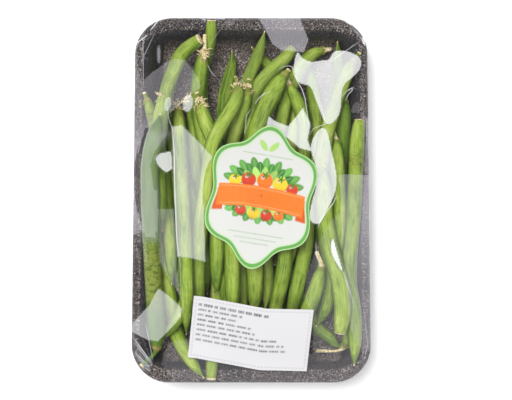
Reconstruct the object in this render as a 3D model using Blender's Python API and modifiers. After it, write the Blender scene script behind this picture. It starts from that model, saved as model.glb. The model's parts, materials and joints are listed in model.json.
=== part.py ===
"""A retail bundle of green beans: a pile of pods in a foam tray, held by stretched film, with two labels.

Metres, +Z up. The origin is on the surface that the pack lies on, under the middle of the tray.
+X and +Y run across and along the tray.
"""

import math
import random
from collections import namedtuple

import bmesh
import bpy
import numpy as np

MM = 0.001

# Tray: the outline of its rim, and the height of the rim above the surface
RIM_HALF_WIDTH = 60.0 * MM
RIM_HALF_LENGTH = 93.5 * MM
RIM_CORNER_RADIUS = 19.0 * MM
SMALLEST_CORNER_RADIUS = 2.0 * MM
RIM_HEIGHT = 24.0 * MM
FLOOR_HEIGHT = 3.4 * MM
TRAY_THICKNESS = 2.4 * MM
CORNER_SEGMENTS = 5

# The tray's upper surface, from the rim's edge to the floor: (inset from the rim's edge, height)
TRAY_SECTION = (
    (0.0, RIM_HEIGHT - 1.6 * MM),
    (1.2 * MM, RIM_HEIGHT - 0.3 * MM),
    (3.0 * MM, RIM_HEIGHT),
    (5.0 * MM, RIM_HEIGHT - 0.2 * MM),
    (7.0 * MM, RIM_HEIGHT - 1.8 * MM),
    (12.5 * MM, FLOOR_HEIGHT + 2.8 * MM),
    (14.5 * MM, FLOOR_HEIGHT + 0.8 * MM),
    (18.5 * MM, FLOOR_HEIGHT),
)

# Film: the real one is far thinner than this stand-in sheet
FILM_THICKNESS = 0.6 * MM
FILM_CLEARANCE = 0.4 * MM
FILM_EDGE_INSET = -0.6 * MM
FILM_CELLS_PER_HALF_WIDTH = 10
FILM_MIDDLE_ROWS = 7
FILM_EDGE_CROWDING = 1.5
FILM_PULL_ROUNDS = 400
BEAN_TOP_SAMPLE = 1.5 * MM
BEANS_NEAR_A_CELL = 16.0 * MM

# Film below the rim: (inset from the rim's edge, height of the sheet's inner side), down to the seam
FILM_SIDE_SECTION = (
    (-0.9 * MM, RIM_HEIGHT - 3.2 * MM),
    (12.0 * MM, FILM_THICKNESS),
    (16.0 * MM, FILM_THICKNESS),
    (32.0 * MM, FILM_THICKNESS),
    (57.5 * MM, FILM_THICKNESS),
)

# Labels: thin plates that follow the film
LABEL_LIFT = 1.2 * MM
LABEL_THICKNESS = 0.5 * MM
BADGE_CENTRE = (5.0 * MM, -2.0 * MM)
BADGE_HALF_SIZE = (27.5 * MM, 34.5 * MM)
BADGE_TURN = math.radians(-9)
BADGE_WAVES = 6
BADGE_WAVE_SHARE = 0.05
BADGE_POINTS = 60
PRICE_LABEL_CENTRE = (-0.3 * MM, -68.5 * MM)
PRICE_LABEL_SIZE = (59.5 * MM, 31.0 * MM)
PRICE_LABEL_TURN = math.radians(-6)
CUTTER_REACH = 80.0 * MM

# Beans
BEAN_GAP = 0.5 * MM
TRAY_SAMPLE = 1.0 * MM
SECTION_SIDES = 8
SECTION_FLATNESS = 0.86
ROUTE_STEP = 1.0 * MM
STATION_STEP = 2.5 * MM
RING_STEP = 12.0 * MM
BEAN_BRIDGE_ROUNDS = 20
BEAN_END_SLOPE = 0.8
BEAN_SMOOTHING = 7.5 * MM

# The hidden lowest beans, side by side on the floor, in mm and degrees
FLOOR_BEANS = 8
FLOOR_BEAN_SEED = 4
FLOOR_BEANS_HALF_SPREAD = 35
FLOOR_BEAN_WIDTHS = (7.4, 8.6)
FLOOR_BEAN_STALK = 4
FLOOR_BEAN_TOPS = (32, 44)
FLOOR_BEAN_FEET = (-73, -64)
FLOOR_BEAN_SWAY = 1.5
FLOOR_BEAN_ROLL = 20

# Half width of a pod as a share of its fullest, by the distance in mm from its stalk or cut, and from its tip
STALK_SHARE = 0.27
HEAD_PROFILE = ((0.0, 0.42), (2.0, 0.66), (5.0, 0.84), (11.0, 1.0))
CUT_PROFILE = ((0.0, 0.70), (2.0, 0.80), (6.0, 0.93), (12.0, 1.0))
TIP_PROFILE = ((0.0, 0.12), (3.0, 0.28), (6.0, 0.56), (10.0, 0.80), (16.0, 0.94), (26.0, 1.0))

Bean = namedtuple("Bean", "width stalk_length roll_degrees route")

# Where the routes below are seen from: the eye's place over the pack
EYE_OFFSET = (0.0, -75.6 * MM)
EYE_HEIGHT = 639.0 * MM
SIGHT_ROUNDS = 3

# The beans that show, from the lowest laid to the highest, in mm and degrees. A route runs from the end
# of the stalk, or from the cut where there is no stalk, to the tip, as seen at the rim's level.
LAID_BEANS = (
    Bean(6.4, 0, 0, ((-20, -92), (-19.5, -82), (-18, -60), (-16.5, -35), (-16, -8), (-15.5, 12))),
    Bean(7.8, 4, 80, ((-12, -70), (-12, -42), (-10, -15), (-9.5, 5), (-12, 22), (-14.5, 40), (-13.5, 52),
        (-10, 68), (-10, 76))),
    Bean(7.0, 0, 0, ((-31.5, 51), (-29.5, 36), (-28.5, 10), (-25, -20), (-22, -50))),
    Bean(7.6, 0, 0, ((-43, 51), (-39.5, 27), (-37, 0), (-36.5, -25), (-37, -48))),
    Bean(7.4, 4, 0, ((12, -35), (16, -10), (19, 15), (22, 38), (20, 52), (16, 61), (10.5, 67), (5.5, 73),
        (0, 80))),
    Bean(7.0, 4, 0, ((10, -6), (16, -30), (24, -48), (31.5, -64), (39, -71), (43, -75), (47.5, -77))),
    Bean(7.0, 4, 0, ((29, 69), (31.5, 57), (32.5, 46), (33.5, 39), (32, 22), (31, 2), (30, -15))),
    Bean(7.2, 4, 60, ((33, -30), (37.5, -4), (40, 18), (42, 40), (44, 60), (45, 72), (45, 82.5))),
    Bean(7.0, 15, 0, ((32.5, -78), (39, -79), (46, -76.5), (49, -66), (49, -48), (46.5, -31), (45, -15),
        (45, 5))),
    Bean(7.5, 5, 70, ((-5.5, -67), (-4.5, -42), (-3, 0), (-4, 25), (-4, 46), (-2, 59), (2.5, 71), (5.5, 80),
        (7, 86.5))),
    Bean(7.6, 0, 10, ((-44, -10), (-45, -25), (-43, -42), (-40, -56), (-38, -68), (-32, -80),
        (-23.5, -91.5))),
    Bean(7.0, 4, 30, ((-32, 12), (-30, -10), (-30, -30), (-31, -46), (-35.5, -59), (-40.5, -67),
        (-46, -73))),
    Bean(7.0, 4, 15, ((-55, 54), (-52, 46), (-49.5, 38), (-46, 20), (-43.5, 0), (-41, -25), (-40, -45))),
    Bean(6.6, 0, 20, ((-20.5, 92), (-21, 82.5), (-24, 71), (-25.5, 57), (-25, 46), (-22, 25), (-20.5, 0),
        (-20, -20))),
    Bean(7.6, 0, 25, ((21.5, 77), (17.5, 72), (10, 64.5), (5, 59), (0.5, 50.5), (-0.5, 36), (3, 10),
        (6, -15), (8, -42), (7, -58))),
    Bean(7.4, 4, 0, ((41.5, 77), (36, 76), (30.5, 73), (24, 64), (18, 50), (14, 32), (11, 10), (10, -14))),
    Bean(7.0, 4, 0, ((18.5, 62), (20, 57), (24, 48.5), (27, 40.5), (27, 25), (25, 5), (22, -15),
        (19, -38))),
    Bean(8.4, 4, 0, ((35, 24), (34.5, 5), (36, -14), (39, -28), (39.5, -41), (37.5, -56), (32.5, -66))),
    Bean(8.0, 6, 30, ((50.5, 56), (48, 50.5), (47, 33.5), (45.5, 19), (44.5, 4), (43, -10), (40, -22))),
    Bean(7.4, 5, 0, ((42, 34), (43.5, 26), (44, 9), (45, -3.5), (45.5, -16), (44.5, -31), (43.5, -46),
        (42, -58))),
    Bean(7.4, 0, 15, ((55.5, 39.5), (54, 27.5), (53, 10), (52, -8), (49.5, -35), (49.5, -45), (51.5, -58),
        (52, -70), (51.5, -85.5))),
    Bean(7.6, 4, 0, ((-1, 61), (-3, 51), (-7, 38), (-11, 22), (-12.5, 0), (-14, -25))),
    Bean(7.2, 8, 0, ((-24, 84.5), (-24, 77.5), (-26.5, 63.5), (-27.5, 51), (-26, 38), (-22, 20), (-17.5, 0),
        (-17.5, -42), (-19, -50))),
    Bean(7.6, 4, 10, ((-28, 54), (-24, 40.5), (-19, 28), (-12, 5), (-10, -20), (-9.5, -42), (-9.5, -66))),
    Bean(8.8, 3, 0, ((19.5, 66), (13, 57), (5, 40.5), (1, 28), (-3, 8), (-2, -12), (1, -28), (2, -42),
        (1.5, -61))),
    Bean(7.6, 4, 0, ((20, 16), (18.5, -6), (17.5, -27), (15.5, -42), (12, -58), (10, -70))),
    Bean(7.6, 5, 0, ((56, 75), (50, 66), (44.5, 52), (39, 34), (36, 18), (33.5, 0), (33, -12))),
    Bean(7.6, 4, 30, ((29, 18), (28, 0), (28.5, -18), (26, -33), (21.5, -53), (18, -66))),
    Bean(7.8, 8, 20, ((33, -28), (35.5, -35), (34, -42), (30, -54.5), (25, -65), (20, -76))),
    Bean(8.4, 0, 0, ((44.5, -69), (46, -58), (45.5, -48), (43, -37), (40, -25), (37.5, -12), (37, 4),
        (37.5, 16))),
    Bean(7.4, 5, 0, ((-8, 62), (-7, 53), (-12, 42), (-18.5, 31), (-21, 19), (-23.5, 0), (-26.5, -26),
        (-27, -49), (-27, -66))),
    Bean(8.0, 0, 20, ((-26.5, 82), (-35, 75), (-40.5, 64), (-44, 52), (-47, 37), (-48, 20), (-47, 0),
        (-45, -18))),
    Bean(8.8, 12, 0, ((-55, -85.5), (-51, -83.5), (-48, -79), (-47.5, -70), (-49, -47), (-50.5, -19),
        (-51.5, 15), (-49.5, 30), (-46.5, 43))),
    Bean(6.8, 4, 0, ((-38, 50.5), (-37, 38), (-36, 25), (-34.5, 0), (-33, -30), (-32.5, -51),
        (-32.5, -70))),
)


def clear_scene():
    for old in list(bpy.data.objects):
        bpy.data.objects.remove(old, do_unlink=True)


def collection_named(name):
    made = bpy.data.collections.new(name)
    bpy.context.scene.collection.children.link(made)
    return made


def material_named(name, colour, roughness, alpha=1.0):
    material = bpy.data.materials.new(name)
    material.use_nodes = True
    shader = material.node_tree.nodes["Principled BSDF"]
    shader.inputs["Base Color"].default_value = (*colour, 1.0)
    shader.inputs["Roughness"].default_value = roughness
    shader.inputs["Metallic"].default_value = 0.0
    shader.inputs["Alpha"].default_value = alpha
    return material


# The outline of the tray, and outlines inside and outside of it


def rim_outline(segments):
    """Points round the rim's edge, counter-clockwise, with each corner as an arc."""
    core_x = RIM_HALF_WIDTH - RIM_CORNER_RADIUS
    core_y = RIM_HALF_LENGTH - RIM_CORNER_RADIUS
    points = []
    for quarter, (sign_x, sign_y) in enumerate(((1, 1), (-1, 1), (-1, -1), (1, -1))):
        for step in range(segments + 1):
            angle = math.pi / 2 * (quarter + step / segments)
            points.append(
                (
                    sign_x * core_x + RIM_CORNER_RADIUS * math.cos(angle),
                    sign_y * core_y + RIM_CORNER_RADIUS * math.sin(angle),
                )
            )
    return points


def inset_point(point, inset):
    """Where a point of the rim's outline goes when the outline shrinks by inset all round."""
    core_x = RIM_HALF_WIDTH - RIM_CORNER_RADIUS
    core_y = RIM_HALF_LENGTH - RIM_CORNER_RADIUS
    held_x = max(-core_x, min(core_x, point[0]))
    held_y = max(-core_y, min(core_y, point[1]))
    out_x = (point[0] - held_x) / RIM_CORNER_RADIUS
    out_y = (point[1] - held_y) / RIM_CORNER_RADIUS
    radius = max(RIM_CORNER_RADIUS - inset, SMALLEST_CORNER_RADIUS)
    shrink_x = (RIM_HALF_WIDTH - inset - radius) / core_x
    shrink_y = (RIM_HALF_LENGTH - inset - radius) / core_y
    return held_x * shrink_x + radius * out_x, held_y * shrink_y + radius * out_y


def inset_of(x, y):
    """How far inside the rim's outline each point of the arrays x and y lies."""
    past_x = np.abs(x) - (RIM_HALF_WIDTH - RIM_CORNER_RADIUS)
    past_y = np.abs(y) - (RIM_HALF_LENGTH - RIM_CORNER_RADIUS)
    outside = np.hypot(np.maximum(past_x, 0), np.maximum(past_y, 0))
    return RIM_CORNER_RADIUS - outside - np.minimum(np.maximum(past_x, past_y), 0)


def tray_surface(x, y):
    """Height of the tray's upper surface at each point."""
    insets, heights = zip(*TRAY_SECTION)
    return np.interp(inset_of(x, y), insets, heights)


# Tray


def make_tray(collection, material):
    """The foam tray: its upper surface lofted in rings from the rim's edge to the floor, and thickened."""
    shape = bmesh.new()
    outline = rim_outline(CORNER_SEGMENTS)
    rings = []
    for inset, height in TRAY_SECTION:
        ring = [shape.verts.new((*inset_point(point, inset), height)) for point in outline]
        rings.append(ring)
    for outer, inner in zip(rings, rings[1:]):
        for a in range(len(outline)):
            b = (a + 1) % len(outline)
            shape.faces.new((outer[a], outer[b], inner[b], inner[a]))
    shape.faces.new(rings[-1])
    tray = object_from(shape, "foam_tray", collection, material)
    thicken(tray, TRAY_THICKNESS, offset=-1.0)
    tray.data.shade_smooth()
    return tray


def object_from(shape, name, collection, material):
    mesh = bpy.data.meshes.new(name)
    shape.to_mesh(mesh)
    shape.free()
    made = bpy.data.objects.new(name, mesh)
    made.data.materials.append(material)
    collection.objects.link(made)
    return made


def thicken(sheet, thickness, offset):
    solidify = sheet.modifiers.new("Thickness", "SOLIDIFY")
    solidify.thickness = thickness
    solidify.offset = offset
    solidify.use_even_offset = True


# Beans


def smooth_route(points):
    """A curve through the route's points, as points about one ROUTE_STEP apart."""
    route = np.array(points, float) * MM
    padded = np.vstack((2 * route[0] - route[1], route, 2 * route[-1] - route[-2]))
    curve = []
    for a, b, c, d in zip(padded, padded[1:], padded[2:], padded[3:]):
        steps = math.ceil(math.dist(b, c) / ROUTE_STEP)
        share = np.linspace(0, 1, steps, endpoint=False)[:, None]
        bend = 2 * a - 5 * b + 4 * c - d
        twist = 3 * b - a - 3 * c + d
        curve.append(b + share / 2 * (c - a + share * (bend + share * twist)))
    return np.vstack((*curve, route[-1:]))


def down_sight_line(route, height):
    """Where a route's points lie at the given heights, on the eye's lines of sight to them."""
    share = (height - RIM_HEIGHT) / (EYE_HEIGHT - RIM_HEIGHT)
    return route + (EYE_OFFSET - route) * share[:, None]


def distances(plan):
    return np.concatenate(([0], np.cumsum(np.hypot(*np.diff(plan, axis=0).T))))


def half_widths(along, length, width, stalk_length):
    """Half of the pod's width at each distance along it."""
    from_head = along / MM - stalk_length
    from_tip = (length - along) / MM
    head = CUT_PROFILE if stalk_length == 0 else HEAD_PROFILE
    share = np.interp(from_head, *zip(*head)) * np.interp(from_tip, *zip(*TIP_PROFILE))
    share = np.where(from_head < 0, STALK_SHARE, share)
    return share * width * MM / 2


def semi_axes(half_width, roll):
    """The level and the upright half size of a pod's oval section, rolled about its length."""
    flat = half_width * SECTION_FLATNESS
    level = np.hypot(half_width * math.cos(roll), flat * math.sin(roll))
    upright = np.hypot(half_width * math.sin(roll), flat * math.cos(roll))
    return level, upright


def tray_stations():
    """The tray's upper surface as points that a bean can rest on: x, y, z, and no size of their own."""
    x, y = np.meshgrid(
        np.arange(-RIM_HALF_WIDTH, RIM_HALF_WIDTH, TRAY_SAMPLE),
        np.arange(-RIM_HALF_LENGTH, RIM_HALF_LENGTH, TRAY_SAMPLE),
    )
    x, y = x.ravel(), y.ravel()
    inside = inset_of(x, y) >= 0
    x, y = x[inside], y[inside]
    nothing = np.zeros_like(x)
    return np.column_stack((x, y, tray_surface(x, y), nothing, nothing))


def height_needed(x, y, level, upright, laid):
    """The least height at which a bean clears all that is laid, at each of its stations."""
    apart = np.hypot(x[:, None] - laid[:, 0], y[:, None] - laid[:, 1])
    reach = level[:, None] + laid[:, 3]
    share = np.clip(1 - (apart / reach) ** 2, 0, None)
    height = laid[:, 2] + (upright[:, None] + laid[:, 4]) * np.sqrt(share)
    on_pile = np.where(share > 0, height, 0).max(axis=1)
    return np.maximum(on_pile, tray_surface(x, y) + upright) + BEAN_GAP


def settled(along, needed):
    """Heights of a bean on the pile: it bridges close supports and sags into wide gaps."""
    height = needed.copy()
    for _ in range(BEAN_BRIDGE_ROUNDS):
        level = (height[2:] + height[:-2]) / 2
        height[1:-1] = np.maximum(needed[1:-1], level)
        height[0] = max(needed[0], height[1] + BEAN_END_SLOPE * (height[1] - height[2]))
        height[-1] = max(needed[-1], height[-2] + BEAN_END_SLOPE * (height[-2] - height[-3]))
    weight = np.exp(-(((along[:, None] - along) / BEAN_SMOOTHING) ** 2))
    height = weight @ height / weight.sum(axis=1)
    return height + max(0, (needed - height).max())


def ring_places(length, stalk_length):
    """Distances along a pod at which it has a ring of corners."""
    head = [0, stalk_length] if stalk_length else [0]
    head += [stalk_length + distance for distance, _ in HEAD_PROFILE[1:]]
    tip = [length / MM - distance for distance, _ in reversed(TIP_PROFILE[:-1])]
    spans = max(1, round((tip[0] - head[-1]) * MM / RING_STEP))
    middle = np.linspace(head[-1], tip[0], spans + 1)[1:-1]
    return np.array([*head, *middle, *tip]) * MM


def pod_section(collection):
    """The oval section that the pods are swept with, one metre in half width, with a seam at each side."""
    section = bpy.data.curves.new("pod_section", "CURVE")
    section.dimensions = "2D"
    spline = section.splines.new("POLY")
    spline.points.add(SECTION_SIDES - 1)
    for number, point in enumerate(spline.points):
        angle = -2 * math.pi * number / SECTION_SIDES
        point.co = (math.cos(angle), SECTION_FLATNESS * math.sin(angle), 0, 1)
    spline.use_cyclic_u = True
    guide = bpy.data.objects.new("pod_section", section)
    guide.hide_render = True
    guide.display_type = "WIRE"
    collection.objects.link(guide)
    return guide


def laid_bean(bean, laid):
    """A pod that rests on what is laid: its rings (x, y, z, half width) and its stations."""
    route = smooth_route(bean.route)
    height = np.full(len(route), RIM_HEIGHT)
    for _ in range(SIGHT_ROUNDS):
        plan = down_sight_line(route, height)
        along = distances(plan)
        places = ring_places(along[-1], bean.stalk_length)
        ring_plan = [np.interp(places, along, plan[:, axis]) for axis in (0, 1)]
        ring_width = half_widths(places, along[-1], bean.width, bean.stalk_length)
        stations = np.union1d(np.arange(0, along[-1], STATION_STEP), places)
        x, y, half_width = (np.interp(stations, places, ring) for ring in (*ring_plan, ring_width))
        level, upright = semi_axes(half_width, math.radians(bean.roll_degrees))
        needed = height_needed(x, y, level, upright, laid)
        ring_height = np.interp(places, stations, settled(stations, needed))
        ring_height += max(0, (needed - np.interp(stations, places, ring_height)).max())
        height = np.interp(along, places, ring_height)
    z = np.interp(stations, places, ring_height)
    return np.column_stack((*ring_plan, ring_height, ring_width)), np.column_stack((x, y, z, level, upright))


def make_bean(name, rings, roll_degrees, section, collection, material):
    """One pod: the section swept through its rings."""
    curve = bpy.data.curves.new(name, "CURVE")
    curve.dimensions = "3D"
    curve.twist_mode = "Z_UP"
    curve.bevel_mode = "OBJECT"
    curve.bevel_object = section
    curve.use_fill_caps = True
    spline = curve.splines.new("POLY")
    spline.points.add(len(rings) - 1)
    for point, (x, y, z, half_width) in zip(spline.points, rings):
        point.co = (x, y, z, 1)
        point.radius = half_width
        point.tilt = math.radians(roll_degrees)
    spline.use_smooth = True
    pod = bpy.data.objects.new(name, curve)
    pod.data.materials.append(material)
    collection.objects.link(pod)
    return pod


def floor_beans():
    """The hidden lowest beans, with their tips at alternate ends."""
    draw = random.Random(FLOOR_BEAN_SEED)
    beans = []
    for place in np.linspace(-FLOOR_BEANS_HALF_SPREAD, FLOOR_BEANS_HALF_SPREAD, FLOOR_BEANS):
        lean, bow = (draw.uniform(-FLOOR_BEAN_SWAY, FLOOR_BEAN_SWAY) for _ in range(2))
        top = draw.uniform(*FLOOR_BEAN_TOPS)
        foot = draw.uniform(*FLOOR_BEAN_FEET)
        route = [(place - lean, foot), (place + bow, (top + foot) / 2), (place + lean, top)]
        if len(beans) % 2:
            route.reverse()
        roll = draw.uniform(-FLOOR_BEAN_ROLL, FLOOR_BEAN_ROLL)
        beans.append(Bean(draw.uniform(*FLOOR_BEAN_WIDTHS), FLOOR_BEAN_STALK, roll, route))
    return beans


def make_pile(collection, section, material):
    """Every bean, from the tray's floor upwards, each laid on those before it."""
    laid = tray_stations()
    for number, bean in enumerate((*floor_beans(), *LAID_BEANS), 1):
        rings, stations = laid_bean(bean, laid)
        make_bean(f"bean_{number:02d}", rings, bean.roll_degrees, section, collection, material)
        laid = np.vstack((laid, stations))
    return laid


# Film


def film_lines():
    """The film's grid lines across and along the tray, crowded towards the rim."""
    shares = np.arange(FILM_CELLS_PER_HALF_WIDTH + 1) / FILM_CELLS_PER_HALF_WIDTH
    half_width = RIM_HALF_WIDTH - FILM_EDGE_INSET
    insets = half_width * shares**FILM_EDGE_CROWDING
    middle = RIM_HALF_LENGTH - RIM_HALF_WIDTH
    across = half_width - insets
    along = middle + across
    rows = np.linspace(-middle, middle, FILM_MIDDLE_ROWS + 1)[1:-1]
    return (
        np.concatenate((-across, across[-2::-1])),
        np.concatenate((-along, rows, along[::-1])),
    )


def rounded(x, y, inset):
    """Moves a point of a rectangle to the same place on it with its corners rounded as the rim's are."""
    half_x = RIM_HALF_WIDTH - inset
    half_y = RIM_HALF_LENGTH - inset
    radius = max(RIM_CORNER_RADIUS - inset, 0)
    past_x = abs(x) - (half_x - radius)
    past_y = abs(y) - (half_y - radius)
    if radius == 0 or past_x <= 0 or past_y <= 0:
        return x, y
    turn = math.pi / 4 * (past_x / radius if past_x < past_y else 2 - past_y / radius)
    return (
        math.copysign(half_x - radius + radius * math.sin(turn), x),
        math.copysign(half_y - radius + radius * math.cos(turn), y),
    )


def film_plan():
    """The film's grid over the tray, seen from above, as arrays of x and y."""
    across, along = film_lines()
    x, y = np.meshgrid(across, along, indexing="ij")
    for i in range(len(across)):
        for j in range(len(along)):
            rings_in = min(i, len(across) - 1 - i, j, len(along) - 1 - j)
            inset = RIM_HALF_WIDTH + across[rings_in]
            x[i, j], y[i, j] = rounded(x[i, j], y[i, j], inset)
    return x, y


def cell_tops(x, y, laid):
    """The highest point of the tray and the beans within each cell of the film's grid."""
    tops = np.zeros((x.shape[0] - 1, x.shape[1] - 1))
    for i in range(tops.shape[0]):
        for j in range(tops.shape[1]):
            xs, ys = x[i : i + 2, j : j + 2], y[i : i + 2, j : j + 2]
            px, py = np.meshgrid(
                np.linspace(xs.min(), xs.max(), max(2, math.ceil(np.ptp(xs) / BEAN_TOP_SAMPLE) + 1)),
                np.linspace(ys.min(), ys.max(), max(2, math.ceil(np.ptp(ys) / BEAN_TOP_SAMPLE) + 1)),
            )
            tops[i, j] = pile_top(px.ravel(), py.ravel(), laid).max()
    return tops


def pile_top(x, y, laid):
    """Height of the top of the tray and the beans at each point."""
    beside = np.maximum(np.abs(laid[:, 0] - x.mean()), np.abs(laid[:, 1] - y.mean()))
    near = laid[(laid[:, 3] > 0) & (beside < BEANS_NEAR_A_CELL)]
    tray = tray_surface(x, y)
    if not len(near):
        return tray
    apart = np.hypot(x[:, None] - near[:, 0], y[:, None] - near[:, 1])
    share = np.clip(1 - (apart / near[:, 3]) ** 2, 0, None)
    beans = np.where(share > 0, near[:, 2] + near[:, 4] * np.sqrt(share), 0)
    return np.maximum(tray, beans.max(axis=1))


def film_heights(x, y, laid):
    """Heights of the stretched film: level between its neighbours, but never below what is under it."""
    tops = np.pad(cell_tops(x, y, laid), 1)
    least = np.maximum.reduce((tops[1:, 1:], tops[:-1, 1:], tops[1:, :-1], tops[:-1, :-1])) + FILM_CLEARANCE
    height = least.copy()
    for _ in range(FILM_PULL_ROUNDS):
        inner = (height[2:, 1:-1] + height[:-2, 1:-1] + height[1:-1, 2:] + height[1:-1, :-2]) / 4
        height[1:-1, 1:-1] = np.maximum(inner, least[1:-1, 1:-1])
    return height


def film_top_mesh(x, y, height):
    """The film over the tray and the beans as an open grid of faces, and the corners of its edge in order."""
    shape = bmesh.new()
    corners = [
        [shape.verts.new((x[i, j], y[i, j], height[i, j])) for j in range(x.shape[1])]
        for i in range(x.shape[0])
    ]
    for near, far in zip(corners, corners[1:]):
        for j in range(len(near) - 1):
            shape.faces.new((near[j], far[j], far[j + 1], near[j + 1]))
    edge = [row[0] for row in corners] + corners[-1][1:-1]
    edge += [row[-1] for row in reversed(corners)] + corners[0][-2:0:-1]
    return shape, edge


def make_film(x, y, height, collection, material):
    """The film: over the pile, round the rim, down the sides and under the tray to an open seam."""
    shape, edge = film_top_mesh(x, y, height)
    rim = [on_outline(vert.co.xy) for vert in edge]
    above = edge
    for inset, level in FILM_SIDE_SECTION:
        below = [shape.verts.new((*inset_point(point, inset), level)) for point in rim]
        for a in range(len(edge)):
            b = (a + 1) % len(edge)
            shape.faces.new((above[b], above[a], below[a], below[b]))
        above = below
    film = object_from(shape, "stretch_film", collection, material)
    thicken(film, FILM_THICKNESS, offset=1.0)
    film.data.shade_smooth()
    return film


def on_outline(point):
    """The point of the rim's outline nearest to a point beside it."""
    core_x = RIM_HALF_WIDTH - RIM_CORNER_RADIUS
    core_y = RIM_HALF_LENGTH - RIM_CORNER_RADIUS
    held_x = max(-core_x, min(core_x, point[0]))
    held_y = max(-core_y, min(core_y, point[1]))
    out = math.hypot(point[0] - held_x, point[1] - held_y) / RIM_CORNER_RADIUS
    return held_x + (point[0] - held_x) / out, held_y + (point[1] - held_y) / out


# Labels


def turned(point, centre, turn):
    """A point of a label's own outline, turned and moved to its place on the pack."""
    x, y = point
    return (
        centre[0] + x * math.cos(turn) - y * math.sin(turn),
        centre[1] + x * math.sin(turn) + y * math.cos(turn),
    )


def badge_outline():
    """A plain oval badge with a gently waved edge."""
    points = []
    for number in range(BADGE_POINTS):
        angle = 2 * math.pi * number / BADGE_POINTS
        swell = 1 - BADGE_WAVE_SHARE * math.cos(BADGE_WAVES * angle)
        x, y = math.cos(angle) * swell, math.sin(angle) * swell
        points.append((BADGE_HALF_SIZE[0] * x, BADGE_HALF_SIZE[1] * y))
    return points


def price_label_outline():
    half_x, half_y = (side / 2 for side in PRICE_LABEL_SIZE)
    return [(-half_x, -half_y), (half_x, -half_y), (half_x, half_y), (-half_x, half_y)]


def outline_prism(name, outline, collection):
    """An upright prism of the outline, to cut a label with."""
    shape = bmesh.new()
    face = shape.faces.new([shape.verts.new((*point, 0)) for point in outline])
    sides = bmesh.ops.extrude_face_region(shape, geom=[face])
    top = [item for item in sides["geom"] if isinstance(item, bmesh.types.BMVert)]
    bmesh.ops.translate(shape, verts=top, vec=(0, 0, CUTTER_REACH))
    bmesh.ops.recalc_face_normals(shape, faces=shape.faces)
    mesh = bpy.data.meshes.new(name)
    shape.to_mesh(mesh)
    shape.free()
    cutter = bpy.data.objects.new(name, mesh)
    cutter.hide_render = True
    cutter.display_type = "WIRE"
    collection.objects.link(cutter)
    return cutter


def make_label(name, outline, grid, collection, cutters, material):
    """A label: a sheet just above the film, kept only inside the label's outline."""
    x, y, height = grid
    shape, _ = film_top_mesh(x, y, height + LABEL_LIFT)
    label = object_from(shape, name, collection, material)
    thicken(label, LABEL_THICKNESS, offset=1.0)
    cut = label.modifiers.new("Outline", "BOOLEAN")
    cut.operation = "INTERSECT"
    cut.solver = "EXACT"
    cut.object = outline_prism(f"{name}_outline", outline, cutters)
    return label


def main():
    clear_scene()
    pack = collection_named("green_bean_bundle")
    cutters = collection_named("guides")
    foam = material_named("black_foam", (0.035, 0.033, 0.036), 0.55)
    green = material_named("green_pod", (0.22, 0.38, 0.07), 0.45)
    clear = material_named("clear_film", (0.95, 0.96, 0.97), 0.06, alpha=0.2)
    print_white = material_named("badge_paper", (0.93, 0.93, 0.94), 0.4)
    paper = material_named("price_paper", (0.92, 0.92, 0.93), 0.6)

    make_tray(pack, foam)
    laid = make_pile(pack, pod_section(cutters), green)
    x, y = film_plan()
    height = film_heights(x, y, laid)
    make_film(x, y, height, pack, clear)
    grid = (x, y, height)
    badge = [turned(point, BADGE_CENTRE, BADGE_TURN) for point in badge_outline()]
    make_label("badge_label", badge, grid, pack, cutters, print_white)
    price = [turned(point, PRICE_LABEL_CENTRE, PRICE_LABEL_TURN) for point in price_label_outline()]
    make_label("price_label", price, grid, pack, cutters, paper)


main()
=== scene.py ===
"""Looks of the green bean pack: pods, foam tray, stretched film and two labels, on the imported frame."""

import json
import math

import bpy
import numpy as np
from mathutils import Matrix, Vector
from mathutils.bvhtree import BVHTree

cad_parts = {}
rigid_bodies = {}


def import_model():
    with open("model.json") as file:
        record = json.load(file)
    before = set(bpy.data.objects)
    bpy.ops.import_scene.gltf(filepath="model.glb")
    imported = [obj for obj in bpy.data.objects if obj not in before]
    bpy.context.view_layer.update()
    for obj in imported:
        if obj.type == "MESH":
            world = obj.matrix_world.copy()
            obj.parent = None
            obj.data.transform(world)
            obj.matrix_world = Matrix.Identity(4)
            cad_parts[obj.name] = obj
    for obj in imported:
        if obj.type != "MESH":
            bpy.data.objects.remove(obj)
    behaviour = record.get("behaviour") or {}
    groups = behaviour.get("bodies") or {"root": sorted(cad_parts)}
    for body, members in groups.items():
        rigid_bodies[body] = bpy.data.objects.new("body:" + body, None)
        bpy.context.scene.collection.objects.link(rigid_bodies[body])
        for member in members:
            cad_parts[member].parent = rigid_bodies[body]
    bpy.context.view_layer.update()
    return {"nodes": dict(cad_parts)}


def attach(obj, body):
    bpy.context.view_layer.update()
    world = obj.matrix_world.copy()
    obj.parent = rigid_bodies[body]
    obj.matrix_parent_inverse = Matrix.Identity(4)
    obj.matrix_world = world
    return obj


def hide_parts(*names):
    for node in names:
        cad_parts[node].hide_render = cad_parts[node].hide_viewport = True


MM = 0.001

for old in list(bpy.data.objects):
    bpy.data.objects.remove(old, do_unlink=True)

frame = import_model()
NODES = frame["nodes"]

# Camera: fitted to the photograph, whose frame is 512 by 400 pixels
IMAGE_WIDTH = 512
IMAGE_HEIGHT = 400
SENSOR_WIDTH = 36.0
FOCAL_PIXELS = 1219.3
OPTICAL_AXIS = (251.2, 196.64)
EYE = (0.0, -75.6 * MM, 639.4 * MM)
CAMERA_TILT = math.radians(7)

# The plain scale, the size of a pixel and its middle, at which facets and creases were measured
PLAIN_SCALE = 0.51 * MM
PLAIN_MIDDLE = (251.0, 199.5)

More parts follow.
